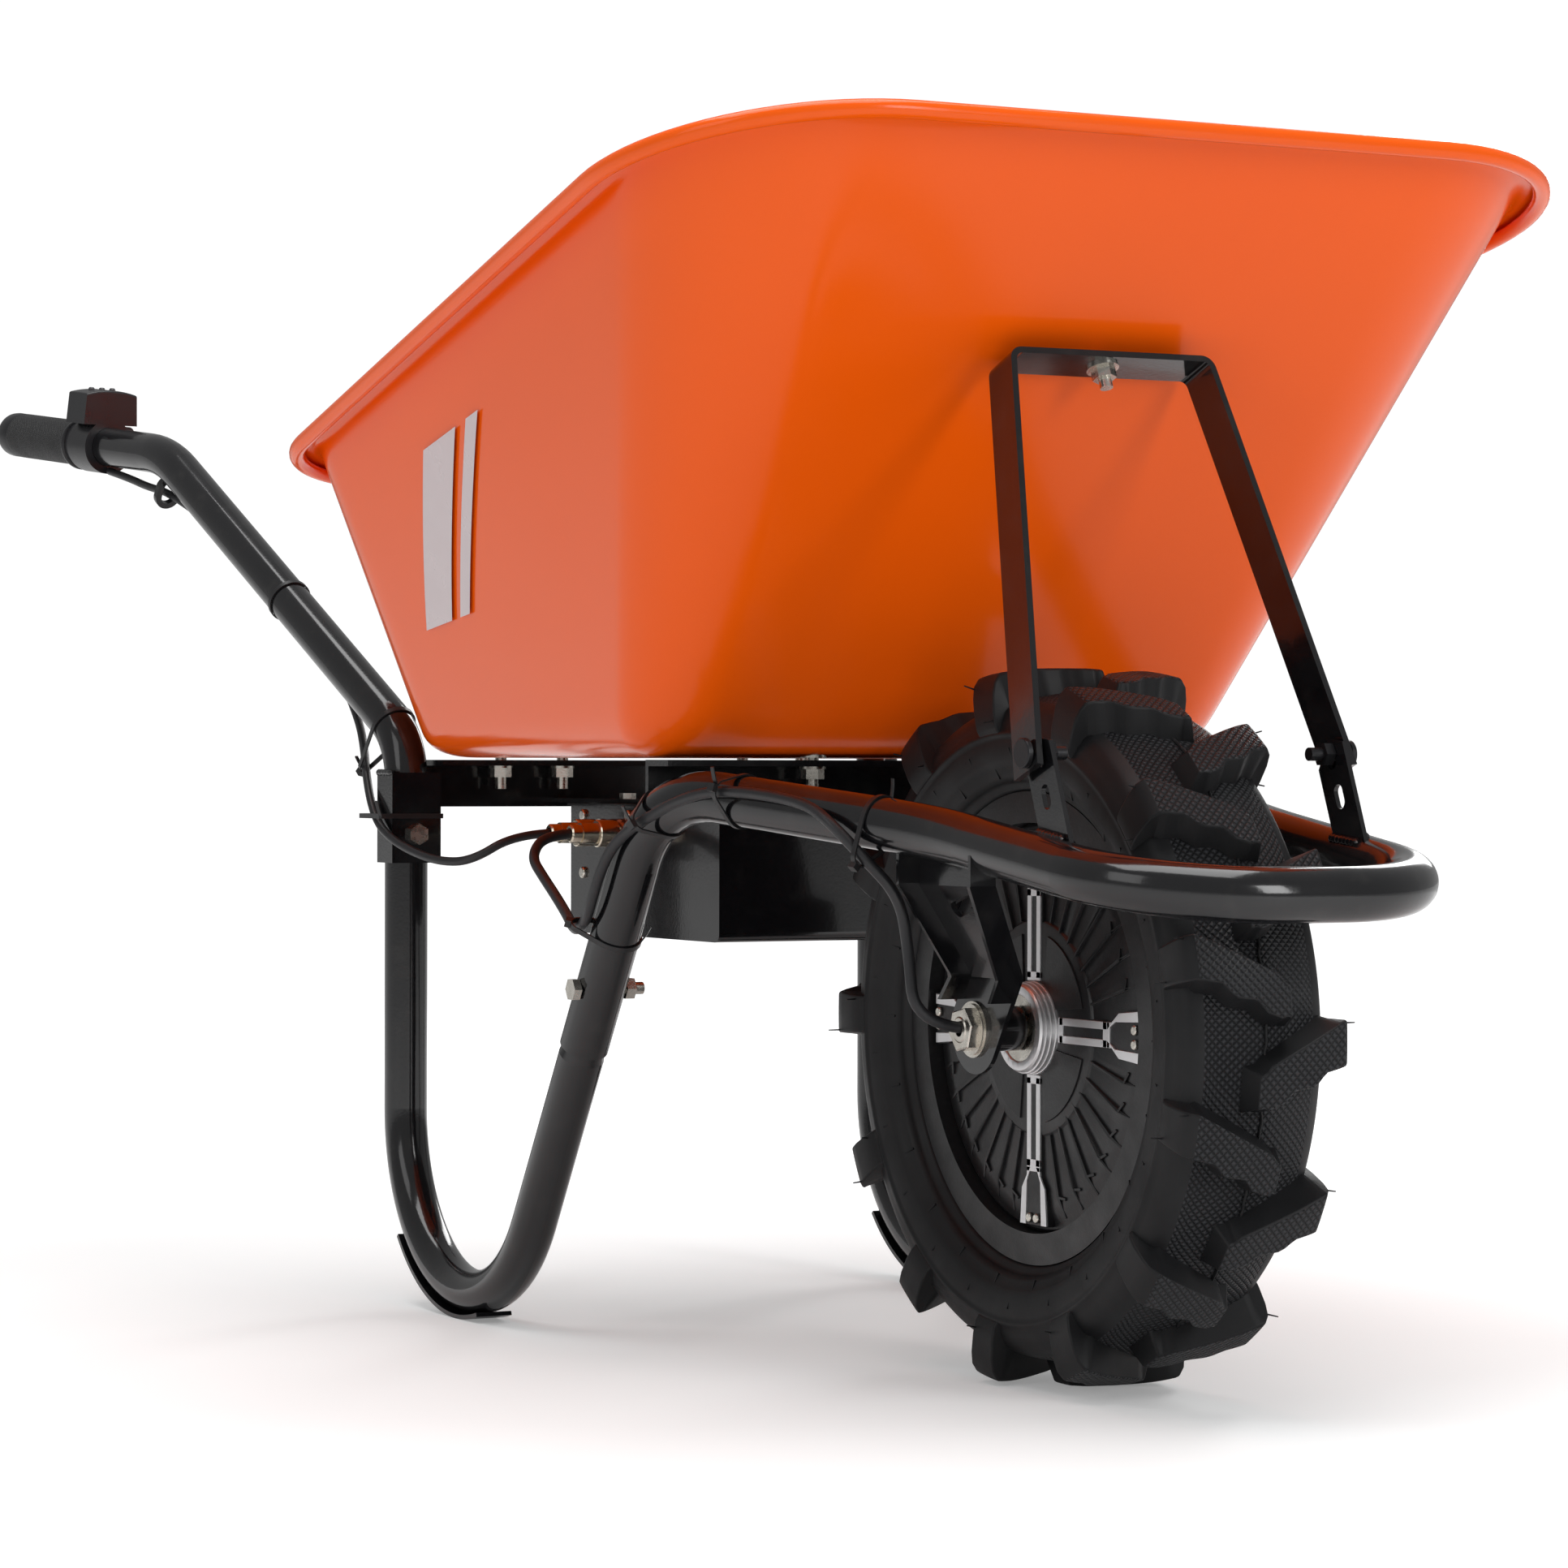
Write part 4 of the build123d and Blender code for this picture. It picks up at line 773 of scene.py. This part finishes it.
def build_whiskers():
    """Moulding whiskers that stand out from the shoulders of some lugs."""
    parts = []
    for number in range(2 * LUGS):
        side = 1 if number % 2 == 0 else -1
        for turn, radius, lean in WHISKERS:
            if (number * 7 + (1 if turn > 0 else 4)) % 3 == 0:
                continue                    # about a third have broken off
            angle = math.pi * number / LUGS + turn
            root = on_wheel(angle, side * WHISKER_Y, radius)
            if root.z < 30 * MM:
                continue                    # too near the ground
            lean_out = Vector((0, side, 0)) + (root - AXLE).normalized() * lean
            length = 4.5 + (number * 5) % 3
            profile = [(0.6, -1), (0.5, length / 2), (0.42, length), (0.05, length + 0.4)]
            parts.append(lathe(root, lean_out, profile, 6))
    join_parts("tyre_whiskers", parts, TYRE, "wheel")


SIDE_BARS = 44                              # on each sidewall, short and long in turn
BAR_REACH = ((151.5, 157.5), (159.0, 169.0))
BAR_HALF = 0.55
BAR_LIFTS = (-0.8, 0.75)
BOX_FACES = ((0, 1, 3, 2), (4, 6, 7, 5), (0, 4, 5, 1), (2, 3, 7, 6), (1, 5, 7, 3), (0, 2, 6, 4))


def sidewall(radius):
    """Y of the sidewall where the bars stand."""
    if radius < 160:
        return 43.4 + (radius - 152.6) * 0.40
    return 47.2 + (radius - 159) * 0.24


def build_side_bars():
    """Short moulded bars round both sidewalls, outside the bead."""
    parts = []
    for side in (-1, 1):
        for number in range(SIDE_BARS):
            angle = 2 * math.pi * number / SIDE_BARS
            corners = []
            for radius in BAR_REACH[number % 2]:
                for turn in (-BAR_HALF, BAR_HALF):
                    for lift in BAR_LIFTS:
                        y = side * (sidewall(radius) + lift)
                        corners.append(on_wheel(angle + turn / radius, y, radius))
            parts.append((corners, BOX_FACES))
    bars = join_parts("sidewall_bars", parts, TYRE, "wheel", False)
    fix_normals(bars)


build_carcass()
build_lugs()
build_flash()
build_whiskers()
build_side_bars()


# ---- motor covers -------------------------------------------------------------------
# sections of turned parts: (radius, distance out from the middle of the wheel)
DISH = ((123.6, 22.5), (123.6, 24.8), (121.8, 25.8), (118.5, 26.0), (112.0, 28.2), (108.0, 28.7),
        (66.0, 29.0), (64.6, 30.4), (63.0, 30.8), (31.0, 30.9), (28.3, 30.9))
BOSS = ((28.4, 30.0), (28.4, 33.0), (27.6, 33.3), (27.6, 34.4), (28.1, 34.7), (28.1, 36.2),
        (27.2, 36.5), (27.2, 37.4), (27.7, 37.7), (27.7, 39.3), (26.6, 39.7), (26.6, 41.4),
        (25.6, 42.9), (24.4, 43.0), (20.6, 43.0), (20.2, 42.6), (20.2, 39.0))
SEAL = ((20.2, 40.6), (19.6, 41.4), (15.4, 41.4), (14.6, 40.8), (14.6, 36.0))
# black pad under each arm, wider where it meets the screws
ARM_PAD = ((29, -8.2), (92, -8.2), (104, -15), (119.5, -16), (119.5, 16), (104, 15), (92, 8.2),
           (29, 8.2))
PAD_HEIGHTS, ARM_HEIGHTS = (26.0, 30.9), (30.6, 31.9)
COVER_RIBS, RIB_FOOT = 7, 24.0


def prism(outline, low, high, turn, side):
    """A plate standing on the cover: (radial, sideways) outline, turned about the axle."""
    cosine, sine = math.cos(turn), math.sin(turn)
    vertices = []
    for height in (low, high):
        for a, b in outline:
            vertices.append(mm(a * cosine - b * sine, side * height,
                               AXLE.z / MM + a * sine + b * cosine))
    count = len(outline)
    faces = [tuple(range(count, 2 * count)), tuple(range(count))[::-1]]
    for step in range(count):
        beside = (step + 1) % count
        faces.append((step, beside, count + beside, count + step))
    return vertices, faces


def ramp(outline, lows, highs, turn, side):
    """A prism with a height of its top for each point of its outline."""
    vertices, faces = prism(outline, lows, highs[0], turn, side)
    count = len(outline)
    for step, height in enumerate(highs):
        vertices[count + step].y = side * height * MM
    return vertices, faces


def mirror_b(outline):
    """The same outline on the other side of its arm."""
    return [(a, -b) for a, b in outline][::-1]


def cover_arm(turn, side):
    """Bright metal of one arm: two bars joined at both ends, and a fork to the screws."""
    bar = [(30, 3.0), (84, 3.0), (84, 7.6), (30, 7.6)]
    prong = [(84, 3.0), (93, 8.0), (119.2, 9.0), (119.2, 15.4), (97, 13.4), (89, 7.6), (84, 7.6)]
    shapes = [bar, mirror_b(bar)]
    for low, high in ((28.5, 34), (79.5, 87)):
        shapes.append([(low, -7.6), (high, -7.6), (high, 7.6), (low, 7.6)])
    shapes += [prong, mirror_b(prong)]
    return [prism(shape, *ARM_HEIGHTS, turn, side) for shape in shapes]


def cover_field(turn, side):
    """Black raised island and cooling ribs between two arms."""
    arc = [math.radians(degrees) for degrees in range(14, 80, 6)]
    island = [(24, 12), *((58 * math.cos(a), 58 * math.sin(a)) for a in arc), (12, 24)]
    parts = [prism(island, 30.0, 32.0, turn, side)]
    for rib in range(COVER_RIBS):
        angle = turn + math.radians(15 + 10 * rib)
        inner = 60 + 12 * abs(math.sin(math.radians(10 * rib - 30)))
        blade = [(inner, -0.8), (104, -0.8), (117, -0.8), (117, 0.8), (104, 0.8), (inner, 0.8)]
        parts.append(ramp(blade, RIB_FOOT, (30.9, 30.7, 27.2, 27.2, 30.7, 30.9), angle, side))
        hook = [(103, -0.8), (104.8, -0.8), (107.5, 6.4), (105.6, 6.9)]
        parts.append(ramp(hook, RIB_FOOT, (30.7, 30.6, 29.8, 29.9), angle, side))
    return parts


def build_cover(side, name, node):
    """One motor cover: a black dish with pads, islands and ribs, and bright arms and boss."""
    outward = Vector((0, side, 0))
    dark = [lathe(AXLE, outward, DISH, 96), lathe(AXLE, outward, SEAL, 64)]
    bright = [lathe(AXLE, outward, BOSS, 96)]
    for quarter in range(4):
        turn = math.pi / 2 * quarter
        dark.append(prism(ARM_PAD, *PAD_HEIGHTS, turn, side))
        dark.extend(cover_field(turn, side))
        bright.extend(cover_arm(turn, side))
    pieces = [join_parts(name, dark, CAST, "wheel", False),
              join_parts(name + "_bright", bright, ALLOY, "wheel", False)]
    for piece in pieces:
        fix_normals(piece)
        bevel(piece, 0.3 * MM, 1, 40)
        apply_modifiers(piece)
        shade_smooth(piece)
        sharpen(piece, 25)
    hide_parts(node)


build_cover(-1, "motor_cover_right", "cover_right")
build_cover(1, "motor_cover_left", "cover_left")


# ---- grips --------------------------------------------------------------------------
HANDLE_TIP = (-1208.8, 269.4, 642.3)
HANDLE_BEND = (-953.0, 235.0, 612.0)
GRIP_LENGTH = 122.0
GRIP_R = 17.6
DIAMONDS_FROM, DIAMONDS_TO = 7.2, 105.0     # along the sleeve


def build_grip(side, name, node):
    """A rubber sleeve with a flange, a stretch of diamonds and a rounded end."""
    tip, bend = (mm(x, side * y, z) for x, y, z in (HANDLE_TIP, HANDLE_BEND))
    back = (tip - bend).normalized()
    start = tip - back * (GRIP_LENGTH * MM)
    profile = [(15.1, 0.2), (20.4, 0.0), (20.6, 0.4), (20.6, 2.6), (20.2, 3.0), (18.0, 3.3),
               (17.1, 4.2), (17.1, 6.0), (17.6, 7.0)]
    profile += [(17.6, 7.0 + 4.25 * step) for step in range(1, 24)]
    profile += [(17.1, 105.6), (17.0, 107.2), (17.5, 108.2), (17.6, 118.0), (17.3, 121.5),
                (16.2, 124.0), (14.0, 125.4), (9.0, 125.9), (3.0, 126.0), (0.05, 126.0)]
    segments = 56
    vertices, faces = lathe(start, back, profile, segments)
    grip = add_mesh(name, vertices, faces, PLASTIC, "frame")
    grip.data.materials.append(GRIP)
    layer = grip.data.uv_layers.new(name="around")
    for polygon in grip.data.polygons:
        depth = (polygon.center - start).dot(back)
        if DIAMONDS_FROM * MM < depth < DIAMONDS_TO * MM:
            polygon.material_index = 1
        step = polygon.index % segments
        for loop, vertex in zip(polygon.loop_indices, polygon.vertices):
            column = vertex % segments
            if step == segments - 1 and column == 0:
                column = segments
            distance = (grip.data.vertices[vertex].co - start).dot(back)
            layer.data[loop].uv = (distance, column / segments * 2 * math.pi * GRIP_R * MM)
    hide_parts(node)


build_grip(-1, "grip_sleeve_right", "grip_right")
build_grip(1, "grip_sleeve_left", "grip_left")


# ---- cables -------------------------------------------------------------------------
HARNESS_D, MOTOR_D = 6.0, 7.0
HARNESS_ROUTE = (
    (-1047, -247.6, 604.3), (-1015, -243.5, 597.5), (-983, -239.5, 589), (-951, -235, 583.5),
    (-914, -220, 563), (-865, -210.5, 538), (-813, -203, 508), (-755, -195, 472), (-707, -190, 434),
    (-678, -190, 406), (-652, -197, 386), (-627, -206, 369), (-606, -211.5, 350),
    (-592, -212, 335), (-573, -211, 325), (-545, -207, 316), (-513, -199, 309),
    (-488, -186, 310), (-480, -158, 328), (-480, -128, 329),
)
MOTOR_ROUTE = (
    (-447, -126, 329), (-447.2, -150, 328.4), (-436, -166, 314), (-408, -169, 300),
    (-375, -175, 288), (-340, -184, 278), (-305, -196, 271), (-277, -206, 270),
    (-252, -211.5, 277), (-239, -213, 293), (-229, -212.5, 309), (-217, -210.5, 324),
    (-199, -206.5, 336), (-177, -201, 345), (-156, -196, 353), (-130, -188, 359.5),
    (-100, -178, 359.5), (-67, -168, 356), (-42, -162, 351), (-24, -157, 340), (-12, -143, 321),
    (-9, -120, 298), (-8.5, -114, 268), (0, -114, 217.5), (0, -63.5, 217.5),
)


def build_cable(name, route, diameter, node):
    """A smooth cable along a route, whose curve cuts inside the route's corners."""
    data = bpy.data.curves.new(name, "CURVE")
    data.dimensions = "3D"
    data.bevel_depth = diameter / 2 * MM
    data.bevel_resolution = 6
    data.resolution_u = 10
    spline = data.splines.new("NURBS")
    spline.points.add(len(route) - 1)
    for point, place in zip(spline.points, route):
        point.co = (*mm(*place), 1)
    spline.order_u = 3
    spline.use_endpoint_u = True
    cable = bpy.data.objects.new(name, data)
    bpy.context.scene.collection.objects.link(cable)
    data.materials.append(JACKET)
    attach(cable, "frame")
    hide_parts(node)


build_cable("harness_lead", HARNESS_ROUTE, HARNESS_D, "harness_cable")
build_cable("motor_lead", MOTOR_ROUTE, MOTOR_D, "motor_cable")


# ---- decal --------------------------------------------------------------------------
def wall_point(along, up, lift):
    """A point on the outside of the right wall: shares of its length and height."""
    floor, top = rounded_outline(*FLOOR_OUTLINE), rounded_outline(*TOP_OUTLINE)
    front, rear = 0, 4 * ARC_STEPS + sum(SIDE_STEPS[:3])    # ends of the right side
    low = mm(*floor[rear].lerp(floor[front], along), FLOOR_Z + SHEET)
    high = on_rim(top[rear].lerp(top[front], along), 0.0)
    ahead = (on_rim(top[front], 0) - on_rim(top[rear], 0)).normalized()
    outward = ahead.cross(high - low).normalized()
    if outward.y > 0:
        outward = -outward
    return low.lerp(high, up) + outward * (lift * MM)


# share of the wall's length at which each stripe begins, and its width as such a share
STRIPES = ((0.16, 0.125), (0.325, 0.045))
STRIPE_UP = (0.36, 0.78)
STRIPE_SLANT = 0.16
FILM = 0.35


def build_decal():
    """One broad and one narrow slanted stripe of film on the right wall."""
    parts = []
    rows = 14
    for first, width in STRIPES:
        vertices = []
        for row in range(rows + 1):
            share = row / rows
            up = STRIPE_UP[0] + (STRIPE_UP[1] - STRIPE_UP[0]) * share
            lead = first + STRIPE_SLANT * share
            for edge in (0.0, 0.5, 1.0):
                vertices.append(wall_point(lead + width * edge, up, SHEET + FILM))
        parts.append((vertices, strip_faces(rows + 1, 3, False)))
    join_parts("wall_stripes", parts, DECAL, "frame")


build_decal()


# ---- cable ties ---------------------------------------------------------------------
HEAD_REACH = 6.0
TAIL_LENGTH, TAIL_BEND = 12.0, 1.6
TAIL_HALF = (1.25, 0.5)
TAIL_STEPS = 6


def tie_heads():
    """For each tie, the part that stands furthest from its middle, and the way out to it."""
    mesh = bmesh.new()
    mesh.from_mesh(nodes["cable_ties"].data)
    bmesh.ops.remove_doubles(mesh, verts=mesh.verts, dist=1e-6)
    left, heads = set(mesh.verts), []
    while left:
        island, edge = set(), {left.pop()}
        while edge:
            vertex = edge.pop()
            island.add(vertex)
            edge |= {other.other_vert(vertex) for other in vertex.link_edges} - island
        left -= island
        places = [vertex.co.copy() for vertex in island]
        middle = sum(places, Vector()) / len(places)
        far = max(places, key=lambda place: (place - middle).length)
        near = [place for place in places if (place - far).length < HEAD_REACH * MM]
        heads.append((sum(near, Vector()) / len(near), (far - middle).normalized()))
    mesh.free()
    return sorted(heads, key=lambda head: tuple(round(value, 4) for value in head[0]))


def build_tails():
    """The cut ends of the cable ties, which stand out from them and a little up."""
    parts = []
    for root, outward in tie_heads():
        lean = (outward * 0.6 + UP * 0.8).normalized()
        side, rise = frame_of(lean)
        vertices = []
        for step in range(TAIL_STEPS + 1):
            share = step / TAIL_STEPS
            middle = root + lean * (TAIL_LENGTH * share * MM) + rise * (TAIL_BEND * share ** 2 * MM)
            half, thick = (size * MM for size in TAIL_HALF)
            for a, b in ((-1, -1), (1, -1), (1, 1), (-1, 1)):
                vertices.append(middle + side * (half * a) + rise * (thick * b))
        faces = strip_faces(TAIL_STEPS + 1, 4, True)
        faces += [(0, 1, 2, 3), tuple(4 * TAIL_STEPS + k for k in (3, 2, 1, 0))]
        parts.append((vertices, faces))
    join_parts("tie_tails", parts, NYLON, "frame", False)


build_tails()


# ---- weld beads ---------------------------------------------------------------------
def weld(node, points, direction, radius):
    """A rippled bead laid where rays from the points meet a CAD node."""
    direction = Vector(direction).normalized()
    path = []
    for point in points:
        hit, place, _normal, _face = nodes[node].ray_cast(point, direction)
        if hit:
            path.append(place)
    if len(path) < 3:
        return None
    vertices, segments = [], 10
    for step, place in enumerate(path):
        along = path[min(step + 1, len(path) - 1)] - path[max(step - 1, 0)]
        side, rise = frame_of(along)
        end = 0.25 if step in (0, len(path) - 1) else 1.0
        reach = radius * MM * end * (1 + 0.16 * math.sin(step * 1.9))
        for turn in range(segments):
            angle = 2 * math.pi * turn / segments
            around = side * (reach * math.cos(angle)) + rise * (reach * math.sin(angle))
            vertices.append(place + around)
    faces = strip_faces(len(path), segments, True)
    last = (len(path) - 1) * segments
    faces += [tuple(range(segments)), tuple(range(last, last + segments))[::-1]]
    return vertices, faces


def build_welds():
    """Beads beside the slotted tabs on the hoop, and on the rail brackets."""
    beads = []
    for side in (-1, 1):
        for outside in (98.2, 104.0):
            line = [mm(126 + 1.1 * step, side * outside, 400) for step in range(26)]
            beads.append(weld("front_hoop", line, (0, 0, -1), 2.8))
        name = "bracket_right" if side < 0 else "bracket_left"
        line = [mm(-613 + 1.5 * step, side * 207, 420) for step in range(25)]
        beads.append(weld(name, line, (0, 0, -1), 2.2))
    join_parts("weld_beads", [bead for bead in beads if bead], BLACK, "frame")


build_welds()


# ---- floor, light and camera --------------------------------------------------------
FLOOR_HALF = 30.0                           # metres


def build_floor():
    corners = [(x * FLOOR_HALF, y * FLOOR_HALF, 0) for x, y in ((-1, -1), (1, -1), (1, 1), (-1, 1))]
    floor = add_mesh("floor", corners, [(0, 1, 2, 3)], studio_floor(), None)


def add_light(name, place, target, size, power, size_y=None):
    """A soft light of a power in watts, turned to a target."""
    data = bpy.data.lights.new(name, "AREA")
    data.shape = "RECTANGLE"
    data.size = size
    data.size_y = size_y or size
    data.energy = power
    light = bpy.data.objects.new(name, data)
    bpy.context.scene.collection.objects.link(light)
    light.location = place
    light.rotation_euler = (Vector(target) - Vector(place)).to_track_quat("-Z", "Y").to_euler()


WORLD_LIGHT, WORLD_SEEN = 0.32, 1.05        # strength on the object, and behind it


def build_lights():
    """A white world that is dimmer to the object than to the camera, and four soft lights."""
    world = bpy.data.worlds.new("studio")
    world.use_nodes = True
    tree = world.node_tree
    dim = tree.nodes["Background"]
    dim.inputs["Color"].default_value = (1, 1, 1, 1)
    dim.inputs["Strength"].default_value = WORLD_LIGHT
    white = tree.nodes.new("ShaderNodeBackground")
    white.inputs["Color"].default_value = (1, 1, 1, 1)
    white.inputs["Strength"].default_value = WORLD_SEEN
    mix = tree.nodes.new("ShaderNodeMixShader")
    path = tree.nodes.new("ShaderNodeLightPath")
    tree.links.new(path.outputs["Is Camera Ray"], mix.inputs[0])
    tree.links.new(dim.outputs[0], mix.inputs[1])
    tree.links.new(white.outputs[0], mix.inputs[2])
    tree.links.new(mix.outputs[0], tree.nodes["World Output"].inputs["Surface"])
    bpy.context.scene.world = world
    add_light("overhead", (0.3, -0.2, 3.0), (0, 0, 0.3), 2.4, 70)
    add_light("key", (1.2, -3.2, 1.9), (0.1, 0, 0.4), 1.4, 12, 2.0)
    add_light("front", (3.6, 0.9, 1.5), (0.3, 0, 0.45), 1.0, 34, 1.6)
    add_light("edge", (-2.0, 2.6, 1.8), (-0.2, 0, 0.4), 0.8, 26, 1.8)


CAMERA_PLACE = (2416.65, -1473.76, 375.76)
CAMERA_AZIMUTH, CAMERA_PITCH, CAMERA_ROLL = 62.2549, -0.2312, 0.1299        # degrees
CAMERA_LENS = 106.79


def build_camera():
    """A camera that looks along an azimuth counted from +Y towards -X."""
    azimuth, pitch, roll = (math.radians(v) for v in (CAMERA_AZIMUTH, CAMERA_PITCH, CAMERA_ROLL))
    forward = Vector((-math.sin(azimuth) * math.cos(pitch), math.cos(azimuth) * math.cos(pitch),
                      math.sin(pitch)))
    right = Vector((math.cos(azimuth), math.sin(azimuth), 0))
    upward = right.cross(forward)
    turned_right = right * math.cos(roll) + upward * math.sin(roll)
    turned_up = turned_right.cross(forward)
    data = bpy.data.cameras.new("camera")
    data.lens = CAMERA_LENS
    data.sensor_width = 36.0
    data.clip_end = 100
    camera = bpy.data.objects.new("camera", data)
    bpy.context.scene.collection.objects.link(camera)
    rotation = Matrix((turned_right, turned_up, -forward)).transposed()
    camera.matrix_world = Matrix.Translation(mm(*CAMERA_PLACE)) @ rotation.to_4x4()
    bpy.context.scene.camera = camera


build_floor()
build_lights()
build_camera()
bpy.context.scene.view_settings.view_transform = "Standard"
